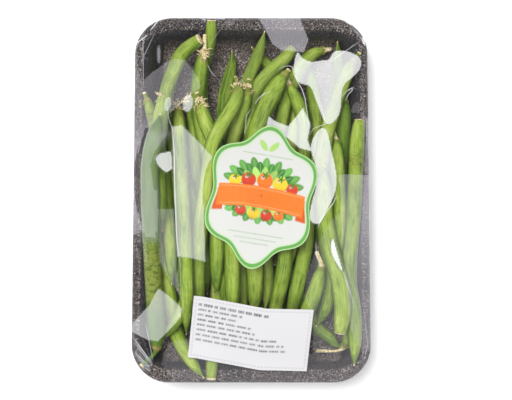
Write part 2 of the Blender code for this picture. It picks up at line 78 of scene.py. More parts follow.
# Tray: its section is given as insets from the rim's edge and heights
RIM_HALF_WIDTH = 60.0 * MM
RIM_HALF_LENGTH = 93.5 * MM
RIM_CORNER_RADIUS = 19.0 * MM
RIM_CORE = np.array((RIM_HALF_WIDTH - RIM_CORNER_RADIUS, RIM_HALF_LENGTH - RIM_CORNER_RADIUS))
SMALLEST_CORNER_RADIUS = 2.0 * MM
RIM_HEIGHT = 24.0 * MM
FLOOR_HEIGHT = 3.4 * MM
TRAY_THICKNESS = 2.4 * MM
TRAY_CORNER_SEGMENTS = 20
TRAY_SIDE_STEP = 4.0 * MM
TRAY_RINGS = 72
FLOOR_RING_SHARES = (0.75, 0.5, 0.25)
TRAY_SECTION = (
    (0.0, RIM_HEIGHT - 1.6 * MM),
    (1.2 * MM, RIM_HEIGHT - 0.3 * MM),
    (3.0 * MM, RIM_HEIGHT),
    (5.0 * MM, RIM_HEIGHT - 0.2 * MM),
    (7.0 * MM, RIM_HEIGHT - 1.8 * MM),
    (12.5 * MM, FLOOR_HEIGHT + 2.8 * MM),
    (14.5 * MM, FLOOR_HEIGHT + 0.8 * MM),
    (18.5 * MM, FLOOR_HEIGHT),
)

# Speckle of the foam: where the rim's band ends and the floor starts, and how strong it is. Its strength is
# painted light: a lighter rim and floor, a painted highlight along the rim's inner edge and painted shade on
# the walls
RIM_BAND_AT_SIDES = 3.6 * MM
RIM_BAND_AT_ENDS = 6.0 * MM
RIM_EDGE_LINE = 0.5 * MM
FLOOR_EDGE_INSET = 13.5 * MM
FLOOR_EDGE_AT_ENDS = 10.0 * MM
SPECKLE_ON_WALLS_PAINTED_SHADE = 0.04
SPECKLE_ON_RIM_PAINTED_LIGHT = 0.44
RIM_EDGE_PAINTED_HIGHLIGHT = 0.38
SPECKLE_ON_FLOOR_PAINTED_LIGHT = 0.98
FOAM_BLACKS = (
    (0.35, (0.010, 0.011, 0.016)),
    (0.55, (0.018, 0.018, 0.023)),
    (0.75, (0.034, 0.030, 0.029)),
)

# Pods, as read from the CAD nodes, with shares of the fullest half width
BEANS = 42
CAD_RING_SIZE = 8
SAME_CORNER = 0.01 * MM
STALKED_BELOW = 0.5
SLIMMEST = 0.10

# Pods: rings along and points round them
SIDE_ANGLES = (0, 10, 28, 48, 69, 90, 111, 132, 152, 170)
SEAM_RIDGE = 0.045
SEAM_GROOVE = -0.015
RING_STEP = 1.6 * MM
END_RING_STEP = 0.7 * MM
END_REACH = 14.0 * MM
FLATNESS = 0.98
BODY_FLATTER = 0.10
FLATTER_FROM_HEAD = (3 * MM, 9 * MM)
FLATTER_FROM_TIP = (3 * MM, 10 * MM)
TIP_THINNING = 0.35
TIP_REACH = 4 * MM

# Pods: seeds, colours and the rust about the head. Swellings are given as place, width and share
SEED_SPACING = 9.5 * MM
SEED_BULGE = 0.035
SEEDS_FROM_HEAD = (6 * MM, 16 * MM)
SEEDS_FROM_TIP = (10 * MM, 24 * MM)
SEED_WANDER = 31 * MM
SLOW_SWELLING = 0.018
SLOW_LENGTH = 13 * MM
HEAD_SWELLINGS = ((-0.1 * MM, 0.9 * MM, 0.20), (2.0 * MM, 1.1 * MM, -0.10))
SPACE_STEP = 0.31
RINGED_FADE_IN = 4 * MM
RINGED_FADE_OUT = 9 * MM
TONE_SPREAD = 0.14
POD_GREENS = (
    (0.38, (0.075, 0.145, 0.010)),
    (0.46, (0.165, 0.275, 0.022)),
    (0.54, (0.275, 0.385, 0.042)),
    (0.64, (0.455, 0.530, 0.125)),
)
DRY_TANS = (
    (0.32, (0.380, 0.210, 0.060)),
    (0.44, (0.680, 0.520, 0.230)),
    (0.58, (0.900, 0.830, 0.560)),
)

# How dry a pod is, as strength, where it starts and where it is full, and its calyx as middle and width
DRY_STALK = (0.90, 1.6 * MM, 0.2 * MM)
DRY_CUT_END = (0.75, 1.0 * MM, 0.1 * MM)
DRY_TIP = (0.55, 3.0 * MM, 0.5 * MM)
DRY_RUST = (0.26, 15.0 * MM, 1.0 * MM)
DRY_TAN = (0.62, 1.5 * MM, -0.5 * MM)
CALYX = (0.2 * MM, 1.4 * MM)
CALYX_DRYNESS = (0.45, 0.85)

# Single pods by their number, with a trail of crumbs given in mm as across, along and up
CRUMBLY_BEANS = (30, 31, 32, 39, 42)
TAN_STALKS = (17, 24, 25, 28, 31, 37)
# The lowest pods are darkened as painted shade beneath the pile; pods 9, 18 and 23 are lightened as painted
# light.
LOWEST_BEANS = 8
LOWEST_PAINTED_SHADE_TONE = 0.05
BEAN_TONES_AND_PAINTED_LIGHT = {
    9: 0.72, 18: 0.72, 19: 0.50, 21: 0.60, 23: 0.72, 27: 0.16, 29: 0.40,
    33: 0.46, 35: 0.36, 38: 0.58, 40: 0.42, 41: 0.06, 42: 0.42,
}
RINGED_STRETCHES = {41: (34 * MM, 70 * MM), 29: (18 * MM, 30 * MM), 21: (8 * MM, 24 * MM)}
CRUMB_TRAILS = {
    31: ((0.5, -4.5, 0.5),),
    32: ((2.5, -3.5, 0.5),),
    42: ((-8.5, 3.0, 12.0), (6.0, 3.5, 4.0)),
}

# Sepals and crumbs, whose sizes are ranges of length and half width in mm, and of dryness
SEPALS = 5
SEPAL_LENGTH = 2.6 * MM
SEPAL_HALF_WIDTH = 0.55 * MM
CRUMBS = 44
TRAIL_CRUMBS = 30
CRUMB_BEND = 0.75
CRUMB_SIZES = ((1.2, 2.5), (0.34, 0.62), (0.80, 1.0))
TRAIL_CRUMB_SIZES = ((1.6, 3.0), (0.40, 0.70), (0.85, 1.0))
THREAD_FLATNESS = 0.55
THREAD_ROWS = 5
THREAD_SIDES = 4
SKEW_WAY = np.array((0.31, 0.53, 0.79))

# Film: its grid, its looks, and how far up its normals face where they are flatter and have facets
FILM_EDGE_INSET = -0.15 * MM
FILM_CELLS_PER_HALF_WIDTH = 110
FILM_CLEARANCE = 0.25 * MM
FILM_ROUNDS = 6000
COARSE_STEP = 4
COARSE_ROUNDS = 1500
RAY_START = 0.2
TINY = 1e-9
FILM_MIRROR = 0.040
FILM_VEIL = 0.006
FILM_GRAZING = 0.40
FLATTER = 0.5
FLATTER_FACING_UP = (-0.3, 0.3)
FACETS_FACING_UP = (0.0, 0.25)
CREASE_WIDTH = 0.55 * MM
FAR_FROM_CREASES = 5.0 * MM

# Film down the walls and under the tray, as insets from the rim's edge and heights in mm
FILM_SIDES = (
    (-0.30, 22.4), (-0.30, 21.4), (-0.25, 20.5), (0.1, 19.4), (1.0, 17.8), (3.0, 14.4),
    (5.0, 11.2), (7.0, 8.0), (9.0, 4.9), (10.8, 2.2), (12.0, 0.8), (14.0, 0.45),
    (20.0, 0.45), (28.0, 0.45), (38.0, 0.45), (48.0, 0.45), (57.5, 0.45),
)
PLEATS = 14
PLEAT_WAVES = (20, 120)
PLEAT_DEPTH = 0.35 * MM
PLEATS_BELOW = (21 * MM, 10 * MM)
UNDER_TRAY = 0.6 * MM
PLEATS_ABOVE = (UNDER_TRAY, 3 * MM)
RIPPLE_UNDER_TRAY = 0.25 * MM

# Where the light panels stand, that facets of the film mirror: the way there as x, y for one up
PANEL_DISTANCE = 0.90
BRIGHT = (0.85, 0.80)
LEFT = (-1.00, 0.45)
TOP = (0.10, 1.30)
LOW = (-0.05, -1.25)
PALE = (-1.00, -0.45)

# Kinds of shine: way, share kept of the film's own curve, mirrored share, milky share as a painted
# reflection, soft edge in mm
WHITE_SHINE = (BRIGHT, 0.12, 0.24, 0.21, 0.25)
STREAK_SHINE = (BRIGHT, 0.05, 0.30, 0.34, 0.25)
GREY_SHINE = (LEFT, 0.15, 0.064, 0.02, 0.25)
PALE_SHINE = (PALE, 0.10, 0.12, 0.11, 0.25)
TOP_SHINE = (TOP, 0.15, 0.14, 0.03, 0.25)
LOW_SHINE = (LOW, 0.15, 0.110, 0.03, 0.25)
DUSK_SHINE = (LOW, 0.15, 0.048, 0.015, 2.5)
SMEAR = (LEFT, 0.50, 0.060, 0.12, 0.8)
MIST_SHINE = (LEFT, 0.20, 0.045, 0.135, 3.5)
DROP_SHINE = (PALE, 0.10, 0.11, 0.20, 0.25)


def turned(u, v, centre, turn):
    return (
        centre[0] + u * math.cos(turn) - v * math.sin(turn),
        centre[1] + u * math.sin(turn) + v * math.cos(turn),
    )


def oval(x, y, half_long, half_short, lean=90, corners=14):
    """An oval outline in mm, its long axis leaning so many degrees from the x axis."""
    turn = math.radians(lean)
    outline = []
    for corner in range(corners):
        angle = 2 * math.pi * corner / corners
        u, v = half_long * math.cos(angle), half_short * math.sin(angle)
        outline.append(turned(u, v, (x, y), turn))
    return tuple(outline)


def rounded(*corners):
    """An outline with its corners cut twice, so that it runs smoothly."""
    points = np.array(corners, float)
    for _ in range(2):
        ahead = np.roll(points, -1, axis=0)
        points = np.stack((0.75 * points + 0.25 * ahead, 0.25 * points + 0.75 * ahead), axis=1).reshape(-1, 2)
    return points


# Facets that shine: kind and outline, measured at the plain scale in mm. Their milky share is a painted
# reflection
FACETS = (
    (WHITE_SHINE, rounded((21.5, 68), (23.5, 76.5), (26, 72), (31, 70), (35.5, 71), (40, 71), (42, 76),
        (48, 76), (52.5, 74.5), (56.5, 72), (56, 66.5), (52, 62.5), (47.5, 59), (46, 54), (46, 46.5),
        (44, 41), (39.5, 37.5), (37, 40), (35, 45.5), (32.5, 52), (30.5, 58), (25, 59), (22.5, 61.5))),
    (WHITE_SHINE, rounded((34.5, 36.5), (39, 36.5), (41, 25.5), (43, 17), (44, 9), (42.5, 1.5),
        (38, -7), (35, -13.5), (29, -11), (31, -0.5), (33.5, 7.5), (33, 17.5), (29.5, 27.5))),
    (WHITE_SHINE, ((9, 42.5), (12.5, 40), (19, 37.5), (24, 43.5), (26.5, 47), (30.5, 38.5), (29, 30.5),
        (31, 24.5), (25, 26), (19, 31), (13, 34), (7.5, 36.5))),
    (WHITE_SHINE, ((-50.5, 21.7), (-46, 23.8), (-40.6, 24.8), (-39.8, 15.8), (-43.1, 13.5),
        (-47, 16.5))),
    (STREAK_SHINE, oval(49.6, 90.6, 2.8, 0.9, -35)),
    (STREAK_SHINE, oval(57.4, 80.8, 2.2, 0.7, 105)),
    (GREY_SHINE, ((-60, 55), (-51.5, 64), (-42, 71), (-38, 72), (-33.5, 71), (-29.5, 66.5), (-26, 60.5),
        (-25.5, 57), (-29.5, 54), (-42, 43.5), (-42, 34), (-48.5, 25.5), (-51.5, 17), (-53, 5),
        (-47.5, 5), (-47.5, -16.5), (-56.5, -17), (-62, -19.5), (-62, 55))),
    (MIST_SHINE, ((-53, 35.5), (-42.3, 33.5), (-47.4, 25.3), (-50.5, 21.7), (-49, 12.5), (-47.4, -2.8),
        (-47.4, -20.5), (-55.6, -20.5), (-56.1, -2.8), (-55.6, 20.2))),
    (PALE_SHINE, ((-40.5, 37.5), (-35, 38), (-26.5, 29.5), (-19.5, 22), (-23, 15), (-24.5, 5),
        (-23, -32), (-31, -30), (-38, -29), (-39, -0.5))),
    (GREY_SHINE, ((-47.5, -4.5), (-39, -4.5), (-38, -35), (-35, -51.5), (-41.5, -41), (-46.5, -32))),
    (PALE_SHINE, ((-47, -45.5), (-42, -49), (-35, -55.5), (-35.5, -59.5), (-40, -65), (-47.5, -72.5),
        (-53, -71.5), (-61, -67.5), (-60.5, -63), (-52, -54), (-48, -46.5))),
    (DROP_SHINE, oval(-42.6, 48.6, 4.0, 2.0, 75)),
    (DROP_SHINE, oval(-32.2, 49.2, 4.6, 2.7, 80)),
    (SMEAR, oval(-47.0, 74.0, 4.6, 0.8)),
    (GREY_SHINE, ((-60, 66), (-57, 65.5), (-56.5, 60), (-58, 56.5), (-60.5, 57))),
    (TOP_SHINE, ((-27, 93), (-23.5, 90.5), (-22.5, 91.5), (-24, 93.5), (-26, 94.5))),
    (TOP_SHINE, oval(-15.5, 92.6, 2.6, 0.9, -8)),
    (TOP_SHINE, ((2, 95), (24, 95), (29.5, 81.5), (27, 75), (15.5, 76), (11, 79), (6, 89))),
    (DUSK_SHINE, ((47, -2), (62, -2), (62, -77), (58, -92), (40, -95), (-38, -95), (-47, -84),
        (-43, -72), (-20, -68), (31, -78), (31, -60), (26, -50), (28, -36), (33, -22), (38, -12))),
    (LOW_SHINE, ((44.6, 13), (62, 13), (62, -76), (57, -79), (51, -66), (48, -40), (46, -10))),
    (STREAK_SHINE, rounded((42.0, -18.8), (43.0, -22.5), (44.2, -26.8), (45.4, -30.6), (47.2, -37.0),
        (45.6, -36.4), (43.4, -32.8), (41.1, -28.4), (40.1, -23.3))),
)

# Creases of the film: the line, measured at the plain scale in mm, height in mm, share of painted highlight
CREASES = (
    (((-59.2, 79), (-52.5, 84)), 0.45, 0.75),
    (((-51.5, 86), (-46.5, 92)), 0.45, 0.75),
    (((-57, 68), (-49, 85)), 0.30, 0.20),
    (((-60, 74), (-54, 86)), 0.30, 0.15),
    (((-55.2, 87), (-54.8, 57)), 0.10, 0.26),
    (((-61, -69), (-50, -84)), 0.4, 0.45),
    (((-60, -73), (-50, -85)), 0.4, 0.35),
    (((-60, -77), (-51, -86)), 0.4, 0.45),
    (((-59, -80), (-51, -87)), 0.35, 0.35),
    (((-57, -84), (-51, -88)), 0.35, 0.35),
    (((-54, -62), (-50, -82)), 0.3, 0.30),
    (((47, 93), (57, 82)), 0.35, 0.25),
    (((50, 90), (60, 76)), 0.35, 0.15),
    (((38, 89), (52, 86)), 0.2, 0.12),
    (((-13, 90), (-22, 78)), 0.3, 0.12),
    (((40, 70), (56, 81)), 0.2, 0.30),
    (((57.6, 20), (57.0, 66)), 0.1, 0.14),
    (((58.1, -59.7), (58.9, -69.2), (59.6, -73.6), (58.1, -80.2), (55.2, -83.9)), 0.12, 0.32),
    (((2, 48.6), (3.9, 51.6), (6.4, 53.8), (9.3, 54.9)), 0.15, 0.42),
    (((13.7, 66.2), (16.6, 67.8), (19.5, 68.2), (21.1, 67.5), (21.7, 64.7), (23.2, 61.1), (26.1, 56),
        (27.5, 51.6), (28.3, 46.4), (29, 41.3), (29.4, 37)), 0.15, 0.48),
    (((35.2, 50.1), (37, 42.8), (37.7, 38.4), (31.9, 36.2), (29.7, 32.6)), 0.15, 0.35),
    (((45.7, 51.6), (48.7, 55.2), (51.6, 57), (51.6, 55.6), (49.8, 53.8), (47.9, 50.1)), 0.1, 0.45),
    (((-22.4, 69.1), (-20.6, 65.5), (-17.6, 62.1)), 0.15, 0.25),
    (((0.2, 46.4), (-2.3, 42.8), (-2.7, 38.4), (-3.4, 33.3)), 0.15, 0.32),
    (((-43.1, 50.1), (-42, 41.3), (-40.2, 36.2), (-39.1, 23.8), (-39.1, 9.2), (-38.4, -8.6),
        (-37.7, -21.8), (-36.2, -32.8), (-35.9, -44.4)), 0.2, 0.42),
    (((43.9, 2.3), (41.8, -2.1), (38.5, -6.4), (35.2, -11.2), (34.1, -14.5)), 0.25, 0.55),
    (((45.7, -34.2), (47.6, -38.6), (49.4, -44.4), (51.6, -50.3), (52.7, -55.4)), 0.15, 0.42),
    (((33, -21.7), (33.4, -29.1), (34.8, -33.5)), 0.1, 0.25),
)

# Labels
LABEL_GAP = 0.30 * MM
LABEL_CELL = 0.34 * MM
LABEL_ROUNDS = 700
LABEL_THICKNESS = 0.12 * MM
BADGE_CENTRE = (5.0 * MM, -2.0 * MM)
BADGE_HALF_SIZE = (26.5 * MM, 33.2 * MM)
BADGE_TURN = math.radians(-9)
BADGE_WAVES = 6
BADGE_WAVE_SHARE = 0.09
BADGE_TURNS = 360
PRICE_LABEL_CENTRE = (-0.3 * MM, -69.0 * MM)
PRICE_LABEL_SIZE = (59.5 * MM, 30.4 * MM)
PRICE_LABEL_TURN = math.radians(-6)
PRICE_DIP = 2.6 * MM
PRICE_CREASE = 6.5 * MM
PRICE_DIP_REACH = 32.0 * MM

# Printing colours
WHITE = np.array((0.580, 0.585, 0.555))
GREEN = np.array((0.110, 0.330, 0.060))
DEEP_GREEN = np.array((0.045, 0.190, 0.030))
LIGHT_GREEN = np.array((0.330, 0.560, 0.120))
PALE_GREEN = np.array((0.430, 0.640, 0.300))
ORANGE = np.array((0.790, 0.170, 0.018))
DEEP_ORANGE = np.array((0.560, 0.085, 0.010))
PALE_ORANGE = np.array((0.830, 0.430, 0.200))
RED = np.array((0.560, 0.045, 0.020))
YELLOW = np.array((0.780, 0.520, 0.030))
GREY = np.array((0.150, 0.150, 0.160))
INK = np.array((0.020, 0.020, 0.024))
PAPER_WHITE = np.array((0.590, 0.582, 0.590))

# The badge's leaf rows as number, reach, length, its fans as side, middle, squeeze, and its fruit, in mm
LEAF_ROWS = ((9, 15.5, 9.5, GREEN), (8, 12.5, 8.5, DEEP_GREEN), (7, 9.0, 8.0, LIGHT_GREEN))
FANS = ((1, 5.0, 1.0), (-1, -4.5, 0.62))
FAN_HEIGHT = 0.62
LEAF_SLIMNESS = 0.46
LEAF_POINT = 1.7
LEAF_RIB = 0.12 * MM
FRUIT = (
    ((-14.0, 5.6), 3.0, YELLOW),
    ((-7.4, 7.0), 3.6, RED),
    ((0.6, 7.6), 3.9, ORANGE),
    ((8.4, 7.0), 3.6, YELLOW),
    ((14.6, 5.4), 2.9, RED),
    ((-9.0, -8.4), 2.6, RED),
    ((-2.6, -9.2), 2.8, YELLOW),
    ((3.8, -9.2), 2.8, RED),
    ((9.8, -8.4), 2.5, ORANGE),
)

# The badge's sprig of two leaves, as place beside the middle, lean in degrees, length and width in mm
SPRIG = ((2.6, 25.4), 38, 6.6, 2.8)

# The badge's ribbon, rules and border
RIBBON_MIDDLE = -0.8 * MM
RIBBON_HALF_HEIGHT = 5.4 * MM
RIBBON_HALF_LENGTH = 21.4 * MM
RIBBON_BEND = 0.0035
RIBBON_TAIL_START = 18.2 * MM
RIBBON_TAIL_DROP = 2.2 * MM
RIBBON_STRIPE_INSET = 1.1 * MM
RIBBON_STRIPE_HALF_LENGTH = 20.4 * MM
PRINT_RULES = ((20.6, 12.5), (-19.0, 13.5), (-21.4, 10.5), (-23.6, 7.0))
RULE_HALF_HEIGHT = 0.16 * MM
BORDER = ((2.7, PALE_GREEN), (2.35, WHITE), (1.9, GREEN), (0.45, PALE_GREEN))
SOFT_EDGE = 0.20 * MM
FINE_LINE = 0.14 * MM

# The price label's broken border, and its rows of broken strokes in mm
PRICE_BORDER_INSET = 1.5 * MM
PRICE_DASH_SPACING = 1.7 * MM
STROKE_SPACING = 1.15 * MM
FIRST_RULE = 3.9
RULE_SPACING = 2.45
RULE_HALF_HEIGHTS = (0.68, 0.48)
WORD_LENGTHS = (1.4, 5.2)
WORD_GAP = 0.9
PRICE_RULE_START = -27
PRICE_RULE_ENDS = (9, -5, -8, 0, 2, 13, 17, 18)

# Studio: floor, and the world's horizon and ceiling as place on its ramp and colour
FLOOR_HALF_SIZE = 1.6
HORIZON = (0.42, (0.34, 0.34, 0.355, 1.0))
CEILING = (0.48, (0.06, 0.06, 0.065, 1.0))

# Each light's name, way, distance, size, radiance, colour and whether gloss mirrors it
PLAIN = (1.0, 1.0, 1.0)
LILAC = (1.0, 0.96, 1.06)
SOFTBOXES = (
    ("bright_softbox", BRIGHT, PANEL_DISTANCE, 0.26, 1.8, PLAIN, True),
    ("left_panel", LEFT, PANEL_DISTANCE, 0.28, 1.75, LILAC, True),
    ("pale_panel", PALE, PANEL_DISTANCE, 0.26, 1.9, PLAIN, True),
    ("top_panel", TOP, PANEL_DISTANCE, 0.25, 1.65, LILAC, True),
    ("low_panel", LOW, PANEL_DISTANCE, 0.27, 1.25, LILAC, True),
    ("overhead_fill", (-0.24, 0.16), 1.50, 0.72, 15.2, PLAIN, False),
    ("foot_fill", (0.15, -0.60), 1.20, 0.70, 2.9, PLAIN, False),
)


# Small helpers


def smooth_values(places, values, wanted):
    """A smooth line through values at places, read at wanted places. A value may be a row."""
    places = np.asarray(places, float)
    values = np.asarray(values, float)
    spans = np.diff(places)
    column = (slice(None),) + (None,) * (values.ndim - 1)
    rates = np.diff(values, axis=0) / spans[column]
    before, after = spans[:-1], spans[1:]
    total = before + after
    slopes = np.empty_like(values)
    slopes[0] = rates[0]
    slopes[-1] = rates[-1]
    slopes[1:-1] = rates[:-1] * (after / total)[column] + rates[1:] * (before / total)[column]
    at = np.clip(np.searchsorted(places, wanted, side="right") - 1, 0, len(places) - 2)
    share = ((wanted - places[at]) / spans[at])[column]
    span = spans[at][column]
    from_start = (1 + 2 * share) * (1 - share) ** 2 * values[at]
    from_start = from_start + share * (1 - share) ** 2 * span * slopes[at]
    from_end = share**2 * (3 - 2 * share) * values[at + 1]
    return from_start + from_end + share**2 * (share - 1) * span * slopes[at + 1]


def unit(vectors):
    return vectors / np.linalg.norm(vectors, axis=-1, keepdims=True)


def smoothstep(low, high, value):
    share = np.clip((value - low) / (high - low), 0, 1)
    return share * share * (3 - 2 * share)


def bell(value, middle, width):
    """A smooth swelling that is 1 at the middle and fades over the width."""
    return np.exp(-(((value - middle) / width) ** 2))


def faded(fade, value):
    """A strength that fades in between two values."""
    strength, start, full = fade
    return strength * smoothstep(start, full, value)


def distances_along(points):
    """The distance along a line of points to each of them."""
    return np.concatenate(([0], np.cumsum(np.linalg.norm(np.diff(points, axis=0), axis=1))))


def grid_points(x, y, height):
    return np.column_stack((x.ravel(), y.ravel(), height.ravel()))


def loop_faces(rings, count):
    """Faces between rings of count points each, laid one after another."""
    faces = []
    for first in range(0, (rings - 1) * count, count):
        for a in range(count):
            b = (a + 1) % count
            faces.append((first + a, first + b, first + count + b, first + count + a))
    return faces


def grid_faces(rows, columns):
    return [
        (a, a + columns, a + columns + 1, a + 1)
        for i in range(rows - 1)
        for a in range(i * columns, i * columns + columns - 1)
    ]


def mesh_piece(name, points, faces, material):
    mesh = bpy.data.meshes.new(name)
    mesh.from_pydata([tuple(p) for p in points], [], faces)
    mesh.update()
    mesh.materials.append(material)
    mesh.shade_smooth()
    piece = bpy.data.objects.new(name, mesh)
    bpy.context.scene.collection.objects.link(piece)
    return piece


def add_values(piece, name, values):
    kind = "FLOAT_VECTOR" if np.ndim(values) == 2 else "FLOAT"
    field = "vector" if np.ndim(values) == 2 else "value"
    attribute = piece.data.attributes.new(name, kind, "POINT")
    attribute.data.foreach_set(field, np.asarray(values, np.float32).ravel())


def add_colours(piece, name, colours):
    attribute = piece.data.color_attributes.new(name, "FLOAT_COLOR", "POINT")
    full = np.column_stack((colours, np.ones(len(colours))))
    attribute.data.foreach_set("color", full.astype(np.float32).ravel())


def thicken(piece, thickness):
    """Gives a sheet its thickness, on its lower side."""
    thick = piece.modifiers.new("Thickness", "SOLIDIFY")
    thick.thickness = thickness
    thick.offset = -1.0
    return thick


def stands_for(piece, slot, *nodes):
    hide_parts(*nodes)
    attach(piece, "root")


class Graph:
    """A material's nodes, added one by one."""

    def __init__(self, name):
        self.material = bpy.data.materials.new(name)
        self.material.use_nodes = True
        self.tree = self.material.node_tree
        self.shader = self.tree.nodes["Principled BSDF"]
        self.output = self.tree.nodes["Material Output"]

    def put(self, socket, value):
        if isinstance(value, bpy.types.NodeSocket):
            self.tree.links.new(value, socket)
        elif value is not None:
            socket.default_value = value

    def node(self, kind, settings=(), **inputs):
        made = self.tree.nodes.new(kind)
        for key, value in dict(settings).items():
            setattr(made, key, value)
        for key, value in inputs.items():
            self.put(made.inputs[key.replace("_", " ")], value)
        return made

    def fill(self, node, *values):
        for number, value in enumerate(values):
            self.put(node.inputs[number], value)

    def attribute(self, name, output="Fac"):
        return self.node("ShaderNodeAttribute", {"attribute_name": name}).outputs[output]

    def place(self):
        return self.node("ShaderNodeTexCoord").outputs["Object"]

    def stretched(self, vector, scale):
        return self.node("ShaderNodeMapping", Vector=vector, Scale=scale).outputs["Vector"]

    def noise(self, vector, scale, detail=2.0, roughness=0.5, distortion=0.0):
        made = self.node("ShaderNodeTexNoise", Vector=vector, Scale=scale, Detail=detail)
        self.put(made.inputs["Roughness"], roughness)
        self.put(made.inputs["Distortion"], distortion)
        return made.outputs["Fac"]

    def cells(self, vector, scale):
        return self.node("ShaderNodeTexVoronoi", Vector=vector, Scale=scale).outputs["Distance"]

    def maths(self, operation, a, b=None, clamp=False):
        made = self.tree.nodes.new("ShaderNodeMath")
        made.operation = operation
        made.use_clamp = clamp
        self.fill(made, a, b)
        return made.outputs[0]

    def times(self, a, b):
        return self.maths("MULTIPLY", a, b)

    def plus(self, a, b, clamp=False):
        return self.maths("ADD", a, b, clamp)

    def span(self, value, low, high, to_low=0.0, to_high=1.0):
        made = self.tree.nodes.new("ShaderNodeMapRange")
        made.interpolation_type = "SMOOTHSTEP"
        self.fill(made, value, low, high, to_low, to_high)
        return made.outputs[0]

    def ramp(self, value, stops):
        made = self.node("ShaderNodeValToRGB", Fac=value)
        ramp = made.color_ramp
        while len(ramp.elements) < len(stops):
            ramp.elements.new(0.5)
        for element, (place, colour) in zip(ramp.elements, stops):
            element.position = place
            element.color = (*colour, 1.0)
        return made.outputs["Color"]

    def mix(self, share, a, b):
        made = self.tree.nodes.new("ShaderNodeMix")
        made.data_type = "RGBA"
        self.put(made.inputs[0], share)
        for number, colour in ((6, a), (7, b)):
            linked = isinstance(colour, bpy.types.NodeSocket)
            self.put(made.inputs[number], colour if linked else (*colour, 1.0))
        return made.outputs[2]

    def layered(self, share, below, above):
        """A shader with that share of the one above and the rest of the one below."""
        made = self.tree.nodes.new("ShaderNodeMixShader")
        self.fill(made, share, below.outputs[0], above.outputs[0])
        return made

    def bump(self, height, strength, distance, normal=None):
        made = self.node("ShaderNodeBump", Height=height, Strength=strength, Distance=distance, Normal=normal)
        return made.outputs["Normal"]

    def set(self, **inputs):
        for key, value in inputs.items():
            self.put(self.shader.inputs[key.replace("_", " ")], value)


# Materials


def pod_material():
    """Green pods: streaks along, mottling, painted shade on the flanks and a painted highlight along the
    crest, seams as a painted highlight between lines of painted shade, a tone partly painted shade and light,
    rusty heads and dry tan ends.
    """
    g = Graph("green_pod")
    space = g.attribute("pod_space", "Vector")
    tone_and_shade = g.attribute("tone_and_shade")
    dry = g.attribute("dry")
    ringed = g.attribute("ringed")
    streaks = g.noise(g.stretched(space, (1, 1, 0.08)), 1300, 2.0, 0.5)
    patches = g.noise(g.stretched(space, (1, 1, 0.40)), 150, 3.0, 0.6)
    mottle = g.noise(g.stretched(space, (1, 1, 0.60)), 950, 3.0, 0.65)
    grain = g.noise(space, 2600, 2.0)
    value = g.plus(g.times(patches, 0.50), g.times(streaks, 0.30))
    value = g.plus(value, g.times(mottle, 0.20))
    colour = g.ramp(value, POD_GREENS)
    around = g.node("ShaderNodeSeparateXYZ", Vector=space)
    beside_seam = g.maths("ABSOLUTE", around.outputs["Y"])
    # Painted shade: darker flanks beside the seams.
    colour = g.mix(g.span(beside_seam, 0.0012, 0.0026, 0.42, 0.0), colour, (0.060, 0.120, 0.008))
    # Painted highlight: a paler band along the crest.
    painted_crest_highlight = g.span(beside_seam, 0.0022, 0.0036, 0.0, 0.42)
    painted_crest_highlight = g.times(painted_crest_highlight, g.span(streaks, 0.32, 0.62, 0.35, 1.0))
    colour = g.mix(painted_crest_highlight, colour, (0.400, 0.500, 0.100))
    # The tone lightens or darkens a pod: at random, and as painted shade on the lowest pods and painted light
    # on a few.
    colour = g.mix(g.span(tone_and_shade, 0.0, 0.5, 0.80, 0.0), colour, (0.050, 0.130, 0.012))
    colour = g.mix(g.span(tone_and_shade, 0.5, 1.0, 0.0, 0.50), colour, (0.460, 0.540, 0.140))
    rings = g.noise(g.stretched(space, (0.45, 0.45, 1.0)), 760, 2.0, 0.5, 0.9)
    olive = g.mix(g.span(rings, 0.46, 0.58), (0.255, 0.290, 0.048), (0.100, 0.128, 0.016))
    colour = g.mix(g.times(ringed, 0.72), colour, olive)
    # Painted shade in the grooves beside the seam, and a painted highlight on its ridge.
    colour = g.mix(g.span(beside_seam, 0.00030, 0.00080, 0.60, 0.0), colour, (0.055, 0.130, 0.012))
    colour = g.mix(g.span(beside_seam, 0.00012, 0.00030, 0.55, 0.0), colour, (0.400, 0.500, 0.140))
    specks = g.span(g.cells(space, 620), 0.07, 0.15, 1.0, 0.0)
    speck_share = g.times(specks, g.span(g.noise(space, 140, 2.0), 0.48, 0.60, 0.0, 0.75))
    colour = g.mix(speck_share, colour, (0.150, 0.120, 0.028))
    rubbed = g.span(g.noise(g.stretched(space, (1, 1, 0.25)), 330, 4.0, 0.65), 0.64, 0.72, 0.0, 0.55)
    colour = g.mix(rubbed, colour, (0.460, 0.480, 0.200))
    blotch = g.times(g.maths("SUBTRACT", g.noise(space, 380, 3.0, 0.6), 0.5), 0.9)
    rust = g.span(g.plus(dry, blotch), 0.08, 0.34, 0.0, 0.60)
    rust = g.times(rust, g.span(dry, 0.02, 0.12))
    colour = g.mix(rust, colour, (0.250, 0.180, 0.040))
    tan = g.ramp(g.noise(space, 1100, 4.0, 0.65), DRY_TANS)
    dry_share = g.plus(dry, g.times(g.maths("SUBTRACT", grain, 0.5), 0.5), clamp=True)
    colour = g.mix(g.span(dry_share, 0.36, 0.62), colour, tan)
    rough = g.span(g.noise(space, 500, 3.0), 0.3, 0.7, 0.32, 0.48)
    rough = g.plus(rough, g.times(dry, 0.30), clamp=True)
    height = g.plus(g.times(streaks, 0.4), g.times(mottle, 0.6))
    g.set(Base_Color=colour, Roughness=rough, IOR=1.45, Normal=g.bump(height, 0.7, 0.00030))
    g.set(Subsurface_Weight=0.05, Subsurface_Radius=(0.0010, 0.0018, 0.0005), Subsurface_Scale=1.0)
    g.set(Coat_Weight=0.15, Coat_Roughness=0.25)
    return g.material


